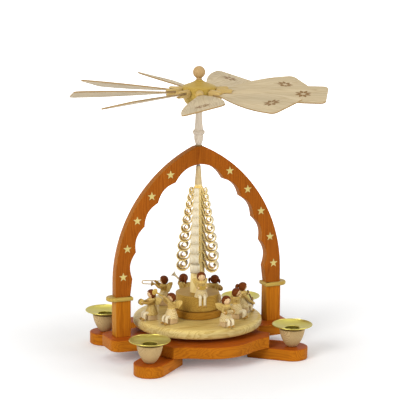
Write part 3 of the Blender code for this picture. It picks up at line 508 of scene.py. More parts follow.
def ring_tone(tree, phase):
    """Light early wood that darkens through a year's ring and ends abruptly."""
    made = put(tree, "ShaderNodeValToRGB", {0: phase})
    stops = made.color_ramp.elements
    stops[0].color = (0.05, 0.05, 0.05, 1)
    stops[1].position = 0.84
    stops[1].color = (1, 1, 1, 1)
    stops.new(0.45).color = (0.25, 0.25, 0.25, 1)
    stops.new(1.0).color = (0.05, 0.05, 0.05, 1)
    return made.outputs[0]


def wood_group():
    """Growth rings that wander along the fibres, fine fibre streaks and slow changes of tone."""
    tree, given, result = group(
        "wood_grain",
        {"Grain": "Vector", "Early": "Color", "Late": "Color", "Ring Width": "Float", "Contrast": "Float"},
        {"Color": "Color", "Roughness": "Float", "Height": "Float"},
    )
    stretches = {"wander": (0.012, 0.10, 0.10), "fibre": (0.05, 2.6, 2.6), "tone": (0.02, 0.05, 0.05)}
    details = {"wander": 2.0, "fibre": 3.0, "tone": 1.0}
    clouds = {}
    for name, stretch in stretches.items():
        spread = put(tree, "ShaderNodeVectorMath", {0: given["Grain"], 1: stretch}, operation="MULTIPLY")
        clouds[name] = noise(tree, spread.outputs[0], 1.0, details[name])
    fibre = clouds["fibre"]
    slant = 0.45
    rings_wandered = 7.0
    share_of_each = 0.55
    place = axes(tree, given["Grain"])
    across = maths(tree, "MULTIPLY_ADD", place[2], slant, place[1])
    years = maths(tree, "DIVIDE", across, given["Ring Width"])
    years = maths(tree, "MULTIPLY_ADD", clouds["wander"], rings_wandered, years)
    late = ring_tone(tree, maths(tree, "FRACT", years))
    streaks = maths(tree, "MULTIPLY", maths(tree, "MULTIPLY_ADD", fibre, 1.6, -0.45), share_of_each)
    share = maths(tree, "MULTIPLY_ADD", late, share_of_each, streaks)
    dark = held(tree, maths(tree, "MULTIPLY", share, given["Contrast"]))
    shade = maths(tree, "MULTIPLY_ADD", clouds["tone"], 0.45, 0.78)
    grey = put(tree, "ShaderNodeCombineColor", {0: shade, 1: shade, 2: shade}).outputs[0]
    colour = mixed(tree, 1.0, mixed(tree, dark, given["Early"], given["Late"]), grey, "MULTIPLY")
    tree.links.new(colour, result["Color"])
    tree.links.new(maths(tree, "MULTIPLY_ADD", fibre, 0.22, 0.36), result["Roughness"])
    tree.links.new(maths(tree, "ADD", fibre, dark), result["Height"])
    return tree


def rosette_group():
    """Slim petals round an open middle, as a mask over places on the upper face of a blade."""
    tree, given, result = group("rosette", {"Place": "Vector"}, {"Mask": "Float"})
    place = axes(tree, given["Place"])
    x = maths(tree, "SUBTRACT", place[0], ROSETTE_PLACE)
    y = place[1]
    square = maths(tree, "MULTIPLY_ADD", x, x, maths(tree, "MULTIPLY", y, y))
    radius = maths(tree, "SQRT", square)
    sector = maths(tree, "MULTIPLY", maths(tree, "ARCTAN2", y, x), PETALS / FULL)
    off = maths(tree, "ABSOLUTE", maths(tree, "SUBTRACT", maths(tree, "FRACT", sector), 0.5))
    aside = maths(tree, "MULTIPLY", maths(tree, "MULTIPLY", off, radius), FULL / PETALS)
    along = ramp(tree, radius, *ROSETTE_RADII, 0.0, math.pi)
    half = maths(tree, "MULTIPLY", maths(tree, "SINE", along), PETAL_HALF)
    petal = ramp(tree, maths(tree, "SUBTRACT", half, aside), 0.0, 0.3, 0.0, 1.0)
    above = maths(tree, "GREATER_THAN", place[2], BLADE_THICK / 2 - 0.3)
    tree.links.new(maths(tree, "MULTIPLY", petal, above), result["Mask"])
    return tree


WOOD = wood_group()
ROSETTE = rosette_group()


def new_material(name):
    """A material with its node tree and its shader."""
    material = bpy.data.materials.new(name)
    material.use_nodes = True
    return material, material.node_tree, material.node_tree.nodes["Principled BSDF"]


def painted_facing_light(tree, colour, painted_level_light, painted_side_light):
    """Painted light and shade: another tone on faces that look up or down, or away from front and back, by
    the way they face in the world.
    """
    normal = axes(tree, put(tree, "ShaderNodeNewGeometry").outputs["Normal"])
    # Painted light and shade: faces that look up or down take the level tint, by how far they face up or
    # down.
    if painted_level_light:
        up = maths(tree, "MULTIPLY", maths(tree, "ABSOLUTE", normal[2]), 0.75)
        colour = mixed(tree, up, colour, mixed(tree, 1.0, colour, (*painted_level_light, 1), "MULTIPLY"))
    # Painted light: faces that look sideways take the side tint, lighter like lit sides.
    if painted_side_light:
        aside = maths(tree, "SUBTRACT", 1.0, maths(tree, "ABSOLUTE", normal[1]))
        colour = mixed(tree, aside, colour, mixed(tree, 1.0, colour, (*painted_side_light, 1), "MULTIPLY"))
    return colour


def burnt_mark(tree, colour):
    """A burnt rosette on the blade's upper face and a toasted rim along its cut edge."""
    burnt = (0.21, 0.105, 0.026, 1)
    toasted = (0.29, 0.16, 0.048, 1)
    place = attribute(tree, "local")
    mark = put(tree, "ShaderNodeGroup", {0: place}, node_tree=ROSETTE).outputs[0]
    colour = mixed(tree, maths(tree, "MULTIPLY", mark, 0.96), colour, burnt)
    depth = maths(tree, "ABSOLUTE", axes(tree, place)[2])
    return mixed(tree, ramp(tree, depth, 0.45, 0.78, 0.8, 0.0), colour, toasted)


def pure(colour):
    """The hue of a colour at full strength, which tints the gleam of a finish."""
    return (*[part / max(colour) for part in colour], 1)


def wood(
    name, early, late, ring, contrast=0.9, coat=0.0, shine=0.25,
    painted_level_light=None, painted_side_light=None, rosette=False,
):
    """Wood from the grain group, with early and late colours, the width of a ring and a coat of lacquer."""
    material, tree, shader = new_material(name)
    given = {"Early": (*early, 1), "Late": (*late, 1), "Ring Width": ring, "Contrast": contrast}
    grain = put(tree, "ShaderNodeGroup", node_tree=WOOD)
    tree.links.new(attribute(tree, "grain"), grain.inputs["Grain"])
    for label, value in given.items():
        grain.inputs[label].default_value = value
    colour = grain.outputs["Color"]
    if painted_level_light or painted_side_light:
        colour = painted_facing_light(tree, colour, painted_level_light, painted_side_light)
    if rosette:
        colour = burnt_mark(tree, colour)
    tree.links.new(colour, shader.inputs["Base Color"])
    tree.links.new(grain.outputs["Roughness"], shader.inputs["Roughness"])
    tree.links.new(bumped(tree, grain.outputs["Height"], 0.12, 0.0002), shader.inputs["Normal"])
    shader.inputs["Specular IOR Level"].default_value = shine
    shader.inputs["Specular Tint"].default_value = pure(early)
    shader.inputs["Coat Weight"].default_value = coat
    shader.inputs["Coat Roughness"].default_value = 0.22
    return material


def paint(name, colour, worn, roughness=0.45, coat=0.0):
    """Thin paint on small turned wood: brushed tone changes and a faint bump."""
    material, tree, shader = new_material(name)
    place = attribute(tree, "grain")
    blot = noise(tree, place, 0.45, 4.0)
    brush = noise(tree, place, 2.2, 2.0)
    share = held(tree, maths(tree, "MULTIPLY_ADD", blot, 1.4, -0.3))
    tree.links.new(mixed(tree, share, (*colour, 1), (*worn, 1)), shader.inputs["Base Color"])
    tree.links.new(maths(tree, "MULTIPLY_ADD", brush, 0.2, roughness - 0.1), shader.inputs["Roughness"])
    tree.links.new(bumped(tree, brush, 0.1, 0.0001), shader.inputs["Normal"])
    shader.inputs["Specular IOR Level"].default_value = 0.25
    shader.inputs["Specular Tint"].default_value = pure(colour)
    shader.inputs["Coat Weight"].default_value = coat
    return material


def metal(name, colour, dull, roughness):
    """Bare sheet or rod: faint cloudy tarnish and fine spinning marks."""
    material, tree, shader = new_material(name)
    place = attribute(tree, "grain")
    cloud = noise(tree, place, 0.12, 3.0)
    fine = noise(tree, place, 3.0, 2.0)
    tree.links.new(mixed(tree, cloud, (*colour, 1), (*dull, 1)), shader.inputs["Base Color"])
    tree.links.new(maths(tree, "MULTIPLY_ADD", fine, 0.16, roughness - 0.08), shader.inputs["Roughness"])
    shader.inputs["Metallic"].default_value = 1.0
    return material


STAINED = ((0.50, 0.168, 0.010), (0.26, 0.070, 0.005), 2.6, 1.0)
DULL = 0.1
# Painted light: the sides of posts and arch, away from front and back, are painted lighter and more golden,
# like lit faces.
PAINTED_SIDE_LIGHT = (1.12, 1.40, 1.40)
# Painted light: the turntable's faces that look up or down are painted brighter.
DISC_PAINTED_LIGHT_TINT = (1.43, 1.38, 1.15)
# Painted shade: on the stained base and feet, faces that look up or down are painted darker and redder.
STAIN = wood("stained_board_painted_shade", *STAINED, shine=DULL, painted_level_light=(0.90, 0.50, 0.7))
# Stained posts and arch with painted light on their sides.
POST = wood("stained_post_painted_light", *STAINED, shine=DULL, painted_side_light=PAINTED_SIDE_LIGHT)
REDDISH = ((0.37, 0.105, 0.010), (0.21, 0.048, 0.005), 2.2, 1.0)
ARCH = wood("stained_arch_painted_light", *REDDISH, shine=DULL, painted_side_light=PAINTED_SIDE_LIGHT)
GOLDEN = wood("golden_wood", (0.49, 0.345, 0.080), (0.34, 0.20, 0.035), 2.2, coat=0.03)
# Turntable wood with painted light on its faces that look up or down.
DISC = wood("disc_wood_painted_light", (0.60, 0.49, 0.21), (0.37, 0.24, 0.060), 4.2, 1.2, 0.2, painted_level_light=DISC_PAINTED_LIGHT_TINT)
CUP = wood("cup_wood", (0.58, 0.43, 0.215), (0.28, 0.165, 0.060), 0.9, 1.15)
SPINDLE = wood("spindle_wood", (0.66, 0.58, 0.48), (0.48, 0.39, 0.28), 1.4)
PEG = wood("peg_wood", (0.57, 0.41, 0.16), (0.41, 0.26, 0.075), 1.6)
BALL = wood("ball_wood", (0.52, 0.35, 0.165), (0.38, 0.23, 0.09), 1.5, coat=0.05)
TRUNK = wood("trunk_wood", (0.55, 0.43, 0.25), (0.40, 0.28, 0.12), 1.5)
SHAVED = wood("shaved_wood", (0.67, 0.62, 0.48), (0.55, 0.42, 0.22), 1.8, 0.8)
# Painted bounce light: the curls' inner faces are painted brighter golden, for light that bounces between the
# windings.
ROLLED_PAINTED_LIGHT = wood("rolled_wood_painted_light", (0.82, 0.57, 0.16), (0.62, 0.38, 0.07), 1.8, 0.8)
# Painted light: golden wood painted paler, to lift the shade on the strips' edges and on the lower trunk.
SPLIT_PAINTED_LIGHT = wood("split_wood_painted_light", (0.80, 0.66, 0.32), (0.66, 0.48, 0.16), 1.8, 0.8)
BLADE = wood("blade_wood", (0.64, 0.53, 0.34), (0.42, 0.30, 0.15), 3.0, 1.0, shine=DULL, rosette=True)
HONEY = wood("honey_wood", (0.50, 0.315, 0.066), (0.285, 0.138, 0.018), 2.0, coat=0.04, shine=DULL)
AMBER = wood("amber_wood", (0.37, 0.18, 0.022), (0.22, 0.090, 0.009), 2.0, coat=0.08, shine=DULL)
STAR = wood("star_inlay", (0.60, 0.50, 0.19), (0.48, 0.38, 0.12), 1.4, 0.6)
BRASS = metal("brass_sheet", (0.58, 0.50, 0.13), (0.46, 0.39, 0.075), 0.34)
BRONZE = metal("dull_bronze", (0.30, 0.19, 0.075), (0.22, 0.13, 0.05), 0.45)
STEEL = metal("drawn_steel", (0.16, 0.15, 0.14), (0.11, 0.10, 0.09), 0.40)
DRESS = wood("cream_dress", (0.73, 0.61, 0.34), (0.38, 0.225, 0.05), 1.3, 1.1, 0.03)
CAPE = wood("golden_bodice", (0.62, 0.465, 0.17), (0.30, 0.162, 0.028), 1.1, 1.2, 0.03)
ROBE = wood("golden_dress", (0.46, 0.29, 0.075), (0.28, 0.15, 0.028), 2.6, 1.0, 0.08)
WING = wood("golden_wings", (0.66, 0.49, 0.17), (0.44, 0.27, 0.055), 2.0, coat=0.05)
BLOCK = wood("block_wood", (0.60, 0.44, 0.24), (0.46, 0.30, 0.14), 1.8, 0.8, 0.05)
SKIN = paint("skin", (0.76, 0.54, 0.30), (0.64, 0.42, 0.20), 0.4)
HAIR = paint("brown_hair", (0.15, 0.038, 0.008), (0.09, 0.021, 0.004), 0.5, 0.03)
WHITE = paint("white_paint", (0.78, 0.69, 0.48), (0.64, 0.51, 0.28))
UMBER = paint("umber_paint", (0.42, 0.24, 0.05), (0.30, 0.15, 0.03), 0.35, 0.2)
GILT = paint("gilt", (0.58, 0.40, 0.09), (0.44, 0.27, 0.05), 0.3, 0.4)
DARK = paint("dark_lacquer", (0.13, 0.05, 0.018), (0.07, 0.025, 0.010), 0.3, 0.4)
INK = paint("ink", (0.02, 0.015, 0.012), (0.035, 0.02, 0.015), 0.4)
ROSE = paint("rose", (0.58, 0.20, 0.11), (0.50, 0.16, 0.09))


# Stand

def feet():
    """Bars with one round end, fibres along the bar."""
    outline = tongue(-FOOT_TAIL, FOOT_RADIUS, FOOT_RADIUS, 49, CORNER_EASE)
    for name, (side, front) in CORNERS.items():
        aim = math.atan2(front * math.sin(FOOT_ANGLE), side * math.cos(FOOT_ANGLE))
        foot = Piece(rotation("z", aim), (*plan(f"candle_cup_{name}"), FOOT_THICK / 2))
        foot.add(board(outline, FOOT_THICK, CORNER_EASE), STAIN)
        foot.done(f"foot_look_{name}", "stand", "stained_wood", f"foot_{name}")


def base_outline():
    """A bulge in front, a shallow sweep, a scoop and a lobe; the other quarters are mirror images."""
    bulge = (BULGE_HALF**2 + BULGE_RISE**2) / (2 * BULGE_RISE)
    reach = math.asin(BULGE_HALF / bulge)
    front = arc((0, BASE_FRONT - bulge), bulge, QUARTER, QUARTER - reach, 28)
    start = np.array([BULGE_HALF, BASE_FRONT - BULGE_RISE])
    end = np.array(SHOULDER_POINT)
    t = np.linspace(0, 1, 12)[1:-1, None]
    across = np.array([(end - start)[1], -(end - start)[0]]) / np.linalg.norm(end - start)
    sweep = start + (end - start) * t + across * SHOULDER_SWEEP * 4 * t * (1 - t)
    lobe = arc(LOBE_CENTRE, LOBE_RADIUS, QUARTER, 0, 17)
    quarter = np.vstack([front, sweep, [end], smooth(SCOOP, 15), lobe])
    half = np.vstack([quarter, quarter[::-1] * (1, -1)])
    return np.vstack([half, half[::-1][1:-1] * (-1, 1)])[::-1]


def base():
    """The lobed board as rings about the bearing: bore, top face, eased edge and underside."""
    outline = base_outline()
    thick = BASE_TOP - BASE_BOTTOM
    bore = BEARING_BORE / np.linalg.norm(outline, axis=1, keepdims=True)
    shares = np.array([0.0, 0.0, 0.15, 0.4, 0.7])[:, None, None]
    rings = outline * (bore + (0.95 - bore) * shares)
    heights = np.full(rings.shape[:2], BASE_TOP)
    heights[0] = BEARING_BOTTOM - SEAT
    edge = board(outline, thick, BOARD_EASE) + (0, 0, BASE_BOTTOM + thick / 2)
    plate = Piece()
    plate.add(np.concatenate([np.dstack([rings, heights]), edge[::-1]]), STAIN)
    plate.done("base_look", "stand", "stained_wood", "base_plate")


def posts():
    """Eased square posts under thin round-ended imposts."""
    square = rectangle((-POST_HALF, -POST_DEPTH_HALF), (POST_HALF, POST_DEPTH_HALF), POST_EASE)
    low, high = BASE_TOP + SEAM, IMPOST_BOTTOM - SEAM
    cap = tongue(-IMPOST_IN, IMPOST_OUT, IMPOST_HALF, 41, CORNER_EASE)
    for name, side in SIDES.items():
        x, y = plan(f"post_{name}")
        post = Piece(None, (x, y, (low + high) / 2), "zxy")
        post.add(board(square, high - low, POST_END_EASE), POST)
        post.done(f"post_look_{name}", "stand", "stained_wood", f"post_{name}")
        outwards = rotation("z", math.atan2(0, side))
        impost = Piece(outwards, (x, y, (IMPOST_BOTTOM + IMPOST_TOP) / 2))
        impost.add(board(cap, IMPOST_TOP - IMPOST_BOTTOM, IMPOST_EASE), GOLDEN)
        impost.done(f"impost_look_{name}", "stand", "natural_wood", f"impost_{name}")


def on_arch(radius, angle):
    """Points about the centre of the right half's sweep."""
    return np.stack([ARCH_CENTRE + radius * np.cos(angle), ARCH_SPRING + radius * np.sin(angle)], -1)


def vault():
    """The scalloped inner edge of the right half, from the spring to the crown's middle, with its angles."""
    marks = np.append(CUSPS, math.acos(-ARCH_CENTRE / CUSP_RADIUS))
    share = np.linspace(0, 1, 14, endpoint=False)
    angle = np.append((marks[:-1, None] + np.diff(marks)[:, None] * share).ravel(), marks[-1])
    radius = np.append(np.tile(CUSP_RADIUS + SCALLOP * np.sin(math.pi * share), len(CUSPS)), CUSP_RADIUS)
    return on_arch(radius, angle), angle


def arch_edges():
    """Matching points on the inner and the outer edge of the right half, from the leg to the bush's hole."""
    inner, angle = vault()
    keep = inner[:, 0] > CROWN_HALF
    crown = math.acos((CROWN_HALF - ARCH_CENTRE) / ARCH_RADIUS)
    outer = on_arch(ARCH_RADIUS, np.interp(angle[keep], angle[keep][[0, -1]], [CUSPS[0], crown]))
    leg = np.linspace((ARCH_OUTER - ARCH_LEG, ARCH_BOTTOM), inner[0], 5)[:-1]
    outer_leg = np.linspace((ARCH_OUTER, ARCH_BOTTOM), outer[0], 5)[:-1]
    outer_leg[:, 0] = np.minimum(ARCH_OUTER, outer_leg[:, 0] + SEAM)
    beside = (CROWN_HOLE, np.interp(CROWN_HOLE, inner[::-1, 0], inner[::-1, 1]))
    return np.vstack([leg, inner[keep], beside]), np.vstack([outer_leg, outer, (CROWN_HOLE, CROWN_TOP)])


def band(inner, outer, front, back, ease_back=BOARD_EASE):
    """Rounded sections between an inner and an outer edge, from a front to a back face."""
    steps = 5
    over = np.repeat([1, 0, 0, 1], steps)
    deep = np.repeat([1, 1, 0, 0], steps)
    angle = np.tile(np.linspace(0, QUARTER, steps), 4) + np.repeat(np.arange(4) * QUARTER, steps)
    ease = np.where(deep, ease_back, BOARD_EASE)
    breadth = np.linalg.norm(outer - inner, axis=1, keepdims=True)
    out = (outer - inner) / breadth
    along = breadth * over + ease * (np.cos(angle) - 2 * over + 1)
    faces = [np.broadcast_to(face, len(inner))[:, None] for face in (front, back)]
    y = np.where(deep, faces[1], faces[0]) + ease * (np.sin(angle) - 2 * deep + 1)
    return np.stack([inner[:, :1] + out[:, :1] * along, y, inner[:, 1:] + out[:, 1:] * along], -1)


def arch():
    """Two scalloped halves and a crown with the bush's hole between them."""
    inner, outer = arch_edges()
    made = Piece(fibres="zxy")
    for side in (1, -1):
        made.add(band(inner * (side, 1), outer * (side, 1), -ARCH_HALF, ARCH_HALF), ARCH)
    edge = vault()[0][::-1]
    x = np.linspace(-CROWN_HOLE, CROWN_HOLE, 17)
    under = np.stack([x, np.interp(np.abs(x), edge[:, 0], edge[:, 1])], -1)
    over = np.stack([x, np.full_like(x, CROWN_TOP)], -1)
    wall = np.sqrt(np.maximum(CROWN_HOLE**2 - x**2, 0.0)) + LEAST
    crown = band(under, over, -ARCH_HALF, -wall, 0.0)
    for side in (1, -1):
        made.add(crown * (1, side, 1), ARCH)
    made.done("arch_look", "stand", "stained_wood", "arch")


def stars():
    """Slender five-pointed inlays along both faces of the arch."""
    corner = np.arange(10)
    angle = corner * FULL / 10 + QUARTER
    size = np.where(corner % 2 == 0, STAR_POINT, STAR_NOTCH)
    star = eased(np.stack([size * np.cos(angle), size * np.sin(angle)], -1), 0.7, 4, closed=True)
    upright = board(star, STAR_THICK, 0.06)[:, :, [0, 2, 1]]
    made = Piece()
    for x, z in on_arch(STAR_RADIUS, STAR_ANGLES):
        for side in (-1, 1):
            for face in (-1, 1):
                made.add(upright + (side * x, face * ARCH_HALF, z), STAR)
    made.done("star_inlays", "stand", "pale_wood")


def cup_profile():
    """A tulip outside and a blind bore for the plate's socket."""
    bore = SOCKET + SHEET + SEAT
    floor = PLATE_BOTTOM - SEAT
    shares = np.array(CUP_SHARES)
    sizes = (CUP_RIM - CUP_FOOT, CUP_TOP - CUP_BOTTOM)
    outside = smooth(shares * sizes + (CUP_FOOT, CUP_BOTTOM), 40)
    inside = eased([(0.0, floor), (bore, floor), (bore, CUP_TOP)], 0.4)[:-1]
    rim = [(bore, CUP_TOP - 0.5), (bore + 0.3, CUP_TOP), (CUP_RIM - 0.3, CUP_TOP)]
    return np.vstack([inside, rim, outside[1:-1], [(CUP_FOOT - 0.2, CUP_BOTTOM), (0.0, CUP_BOTTOM)]])


def plate_profile():
    """Sheet brass: a drawn socket, a dish that steepens outwards, a curled rim and back under the dish."""
    throat = CUP_TOP + SEAT + SHEET
    rim = throat + DISH_DEPTH
    floor = PLATE_BOTTOM + SHEET
    wall = SOCKET + SHEET
    rises = [(wall, 0.05), (13.3, 0.9), (17.5, 2.3), (DISH_RADIUS, DISH_DEPTH + 0.1)]
    dish = smooth(np.array(rises) + (0, throat), 24)
    inside = [(0.0, floor), (SOCKET - 0.4, floor), (SOCKET, floor + 0.4), (SOCKET, throat - 0.4)]
    curl = arc((DISH_RADIUS + 0.35, rim - 0.1), CURL_RADIUS, math.radians(110), math.radians(-100), 12)
    under = dish[::-1][1:] - (0, SHEET)
    outside = [(wall, throat - 1.0), (wall, floor - 0.2), (wall - 0.4, PLATE_BOTTOM), (0.0, PLATE_BOTTOM)]
    return np.vstack([inside, dish, curl, under, outside])


def candle_places():
    """Tulip cups and dished brass plates."""
    bowl = lathe(cup_profile())
    sheet = lathe(plate_profile(), 96)
    for name in CORNERS:
        place = (*plan(f"candle_cup_{name}"), 0)
        cup = Piece(None, place, "zxy")
        cup.add(bowl, CUP)
        cup.done(f"cup_look_{name}", "stand", "pale_wood", f"candle_cup_{name}")
        plate = Piece(None, place)
        plate.add(sheet, BRASS)
        plate.done(f"plate_look_{name}", "stand", "brass", f"drip_plate_{name}")


def bearings():
    """The cone in the base, the bush in the crown and the shaft that turns in both."""
    mouth, deep = BEARING_CONE
    cone = [(0.0, BASE_TOP - deep), (mouth, BASE_TOP), (BEARING_RADIUS, BASE_TOP)]
    cup = eased([*cone, (BEARING_RADIUS, BEARING_BOTTOM), (0.0, BEARING_BOTTOM)], 0.3)
    bearing = Piece()
    bearing.add(lathe(cup, 48), STEEL)
    bearing.done("bearing_look", "stand", "steel", "bearing_cup")
    low = CROWN_TOP + SEAT
    flange = [(BORE, BUSH_TOP), (BUSH_FLANGE_RADIUS, BUSH_TOP), (BUSH_FLANGE_RADIUS, low), (BUSH_RADIUS, low)]
    ring = eased([*flange, (BUSH_RADIUS, BUSH_BOTTOM), (BORE, BUSH_BOTTOM)], 0.2, closed=True)
    bush = Piece()
    bush.add(lathe(ring, 48), BRONZE, ring=True)
    bush.done("bush_look", "stand", "brass", "arch_bush")
    top = [(0.0, SHAFT_TOP), (SHAFT_RADIUS, SHAFT_TOP)]
    rod = eased([*top, (SHAFT_RADIUS, SHAFT_BOTTOM + SHAFT_POINT), (0.0, SHAFT_BOTTOM)], 0.3)
    shaft = Piece(fibres="zxy")
    shaft.add(lathe(rod, 40), STEEL)
    shaft.done("shaft_look", "rotor", "steel", "shaft")


# Rotor

def podium():
    """Turntable with a round edge, step and drum, each bored for the shaft."""
    low, high = TABLE_BOTTOM, TABLE_TOP
    round_start = TABLE_RADIUS - TABLE_EASE
    top = [(BORE, high), (20.0, high), (45.0, high)]
    upper = arc((round_start, high - TABLE_EASE), TABLE_EASE, QUARTER, 0, 12)
    lower = arc((round_start, low + TABLE_EASE), TABLE_EASE, 0, -QUARTER, 12)
    table = Piece()
    table.add(lathe(np.vstack([top, upper, lower, [(40.0, low), (BORE, low)]]), 160), DISC, ring=True)
    table.done("turntable_look", "rotor", "natural_wood", "turntable")
    for name, radius, low, high, finish in (
        ("step", STEP_RADIUS, STEP_BOTTOM, STEP_TOP, AMBER),
        ("drum", DRUM_RADIUS, DRUM_BOTTOM, DRUM_TOP, HONEY),
    ):
        profile = [(BORE, high), (radius, high), (radius, low), (BORE, low)]
        block = Piece()
        block.add(lathe(eased(profile, PODIUM_EASE, 7, closed=True), 120), finish, ring=True)
        block.done(f"{name}_look", "rotor", "honey_wood", f"podium_{name}")


def trunk_radius(height):
    """Radius of the trunk at a height above its foot."""
    heights = [0.0, TREE_HEIGHT - TRUNK_NECK_DROP, TREE_HEIGHT]
    return np.interp(height, heights, [TRUNK_FOOT, TRUNK_NECK, TRUNK_TOP])


def roll_line(stations):
    """A shaving's middle line in shares of its reach and half height: off the trunk, then a spiral."""
    wind = np.linspace(0, 1, 30)
    angle = math.radians(195) + math.radians(590) * wind
    size = 0.47 - 0.35 * wind**1.1
    spiral = np.stack([0.61 + size * np.cos(angle), size / 0.44 * np.sin(angle)], -1)
    root = [(-0.25, 1.2), (-0.08, 0.9), (0.04, 0.5)]
    return smooth(np.vstack([root, spiral]), stations)


def shaving(root, reach, half_height, breadth):
    """A thin strip carried along the roll line, narrower and thinner to its end, and a finish per column: a
    pale outer face, an inner face in painted bounce light and edges in painted light.
    """
    stations = 110
    line = roll_line(stations) * (reach - root, half_height) + (root, 0)
    along = np.gradient(line, axis=0)
    along /= np.linalg.norm(along, axis=1, keepdims=True)
    share = np.linspace(0, 1, stations)[:, None]
    thin = STRIP_THICK[0] + (STRIP_THICK[1] - STRIP_THICK[0]) * share
    half = breadth / 2 * (1 - 0.12 * share**2)
    section = rectangle((-1, -1), (1, 1), 0.5, 4)
    lift = thin * section[:, 1]
    out = line[:, :1] - along[:, 1:] * lift
    up = line[:, 1:] + along[:, :1] * lift
    strip = np.stack([out, half * section[:, 0], up], -1)
    ends = section[:, 1] + np.roll(section[:, 1], -1)
    outer, inner = -1.5, 1.5
    # Painted light: the inner face takes a brighter golden finish for bounced light, the edges a paler one
    # that lifts their shade.
    return strip, [SHAVED if end < outer else ROLLED_PAINTED_LIGHT if end > inner else SPLIT_PAINTED_LIGHT for end in ends]


def tree():
    """A tapered trunk with rows of rolled shavings left standing on it, the lowest in front a short one."""
    made = Piece(None, (0, 0, TREE_BOTTOM), "zxy")
    neck = TREE_HEIGHT - TRUNK_NECK_DROP
    # The lower trunk takes the paler finish with painted light that lifts its shade.
    for top, bottom, finish in ((TREE_HEIGHT, neck, TRUNK), (neck, 0.0, SPLIT_PAINTED_LIGHT)):
        heights = np.linspace(top, bottom, 30)
        outside = np.column_stack([trunk_radius(heights), heights])
        made.add(lathe(np.vstack([[(BORE, top)], outside, [(BORE, bottom)]]), 56), finish, ring=True)
    height = TREE_HEIGHT - TIER_DROP
    for tier in range(TIERS):
        share = tier / (TIERS - 1)
        step = TIER_STEP + TIER_GROWTH * tier
        reach = np.interp(share, [0, ROLL_FULL_AT], ROLL_REACH)
        breadth = np.interp(share, [0, 1], STRIP_WIDTH)
        for row in range(ROWS):
            behind_singer = row == 0 and tier == TIERS - 1
            out = FRONT_REACH if behind_singer else reach
            strip, finish = shaving(trunk_radius(height), out, ROLL_HALF * step, breadth)
            turned = strip @ rotation("z", FIRST_ROW + row * FULL / ROWS).T
            made.add(turned + (0, 0, height), finish)
        height -= step
    made.done("tree_look", "rotor", "pale_wood", "carved_tree")


def sleeve():
    """A waisted stem that swells to a bead and a small foot."""
    stem = smooth([(3.4, 1.0), (3.5, 0.8), (3.8, 0.6), (4.3, 0.46), (4.7, 0.40)], 24)
    bead = smooth([(5.8, 0.372), (6.4, 0.335), (5.8, 0.298)], 12)
    foot = smooth([(4.7, 0.262), (4.8, 0.2), (4.3, 0.10), (2.9, 0.0)], 20)
    outside = np.vstack([stem, bead, foot]) * (1, SLEEVE_TOP - SLEEVE_BOTTOM) + (0, SLEEVE_BOTTOM)
    profile = np.vstack([[(BORE, SLEEVE_TOP)], outside, [(BORE, SLEEVE_BOTTOM)]])
    made = Piece(fibres="zxy")
    made.add(lathe(profile, 64), SPINDLE, ring=True)
    made.done("sleeve_look", "rotor", "pale_wood", "spindle_sleeve")


def hub():
    """A bell above a plain band that takes the pegs, a hollow underside and holes for ball and shaft."""
    top, low = PEG_HEIGHT + HUB_BAND_HALF, PEG_HEIGHT - HUB_BAND_HALF
    cap = HUB_TOP - top
    rises = [(HUB_NECK, 1.0), (5.0, 0.78), (7.8, 0.55), (14.4, 0.17), (16.6, 0.0)]
    bell = smooth(np.array(rises) * (1, cap) + (0, top), 30)
    rim = eased([bell[-1], (HUB_RADIUS, top - 0.6), (HUB_RADIUS, low + 0.8), (16.2, low)], 0.7)
    under = smooth([(16.2, low), (12.975, HUB_BOTTOM + 3.66), (6.055, HUB_BOTTOM)], 16)
    hole_radius, hole_depth = BALL_HOLE
    hole_floor = HUB_TOP - hole_depth
    hole = [(0.0, hole_floor), (hole_radius, hole_floor), (hole_radius, HUB_TOP)]
    end = SHAFT_TOP + SEAT
    bore = [(BORE, HUB_BOTTOM), (BORE, end), (0.0, end)]
    made = Piece()
    made.add(lathe(np.vstack([hole, bell, rim[1:-1], under, bore]), 90), GOLDEN)
    made.done("hub_look", "rotor", "natural_wood", "hub")


def ball():
    """A ball on a short neck with a tenon."""
    seat = HUB_TOP + SEAT
    flare = math.asin(BALL_NECK / BALL_RADIUS)
    centre = seat + BALL_NECK_HEIGHT + BALL_RADIUS * math.cos(flare)
    globe = arc((0.0, centre), BALL_RADIUS, math.radians(89.5), flare - QUARTER, 40)
    radius, deep = BALL_TENON
    stem = [(BALL_NECK, seat), (radius, seat), (radius, seat - deep), (0.0, seat - deep)]
    made = Piece(fibres="zxy")
    made.add(lathe(np.vstack([globe, stem]), 64), BALL)
    made.done("ball_look", "rotor", "natural_wood", "finial_ball")


def jaw(side):
    """Half of a slotted peg: a segment of a disc that tapers outwards and is eased at its end."""
    turns = np.linspace(0.2, QUARTER, 5)
    straight = np.linspace(BLADE_ROOT - SEAT, PEG_END - PEG_EASE, 8)
    x = np.append(straight, PEG_END - PEG_EASE * (1 - np.sin(turns)))
    radius = np.interp(x, [PEG_START, PEG_END], PEG_RADIUS)
    radius[-5:] -= PEG_EASE * (1 - np.cos(turns))
    edge = np.arcsin(SLOT_HALF / radius)[:, None]
    angle = edge + (math.pi - 2 * edge) * np.linspace(0, 1, 24)
    radius = radius[:, None]
    place = np.broadcast_to(x[:, None], angle.shape)
    return np.stack([place, radius * np.cos(angle), side * radius * np.sin(angle)], -1)


def peg_stem():
    """The solid part of a peg with its tenon, turned about x."""
    tenon, end = PEG_TENON
    shoulder = HUB_RADIUS + SEAT
    slot = BLADE_ROOT - SEAT
    steps = [(PEG_RADIUS[0], PEG_START), (3.7, shoulder), (tenon, shoulder), (tenon, end), (0.0, end)]
    return lathe(np.vstack([[(0.0, slot), (4.05, slot)], eased(steps, 0.3)]), 40)[:, :, [2, 1, 0]]


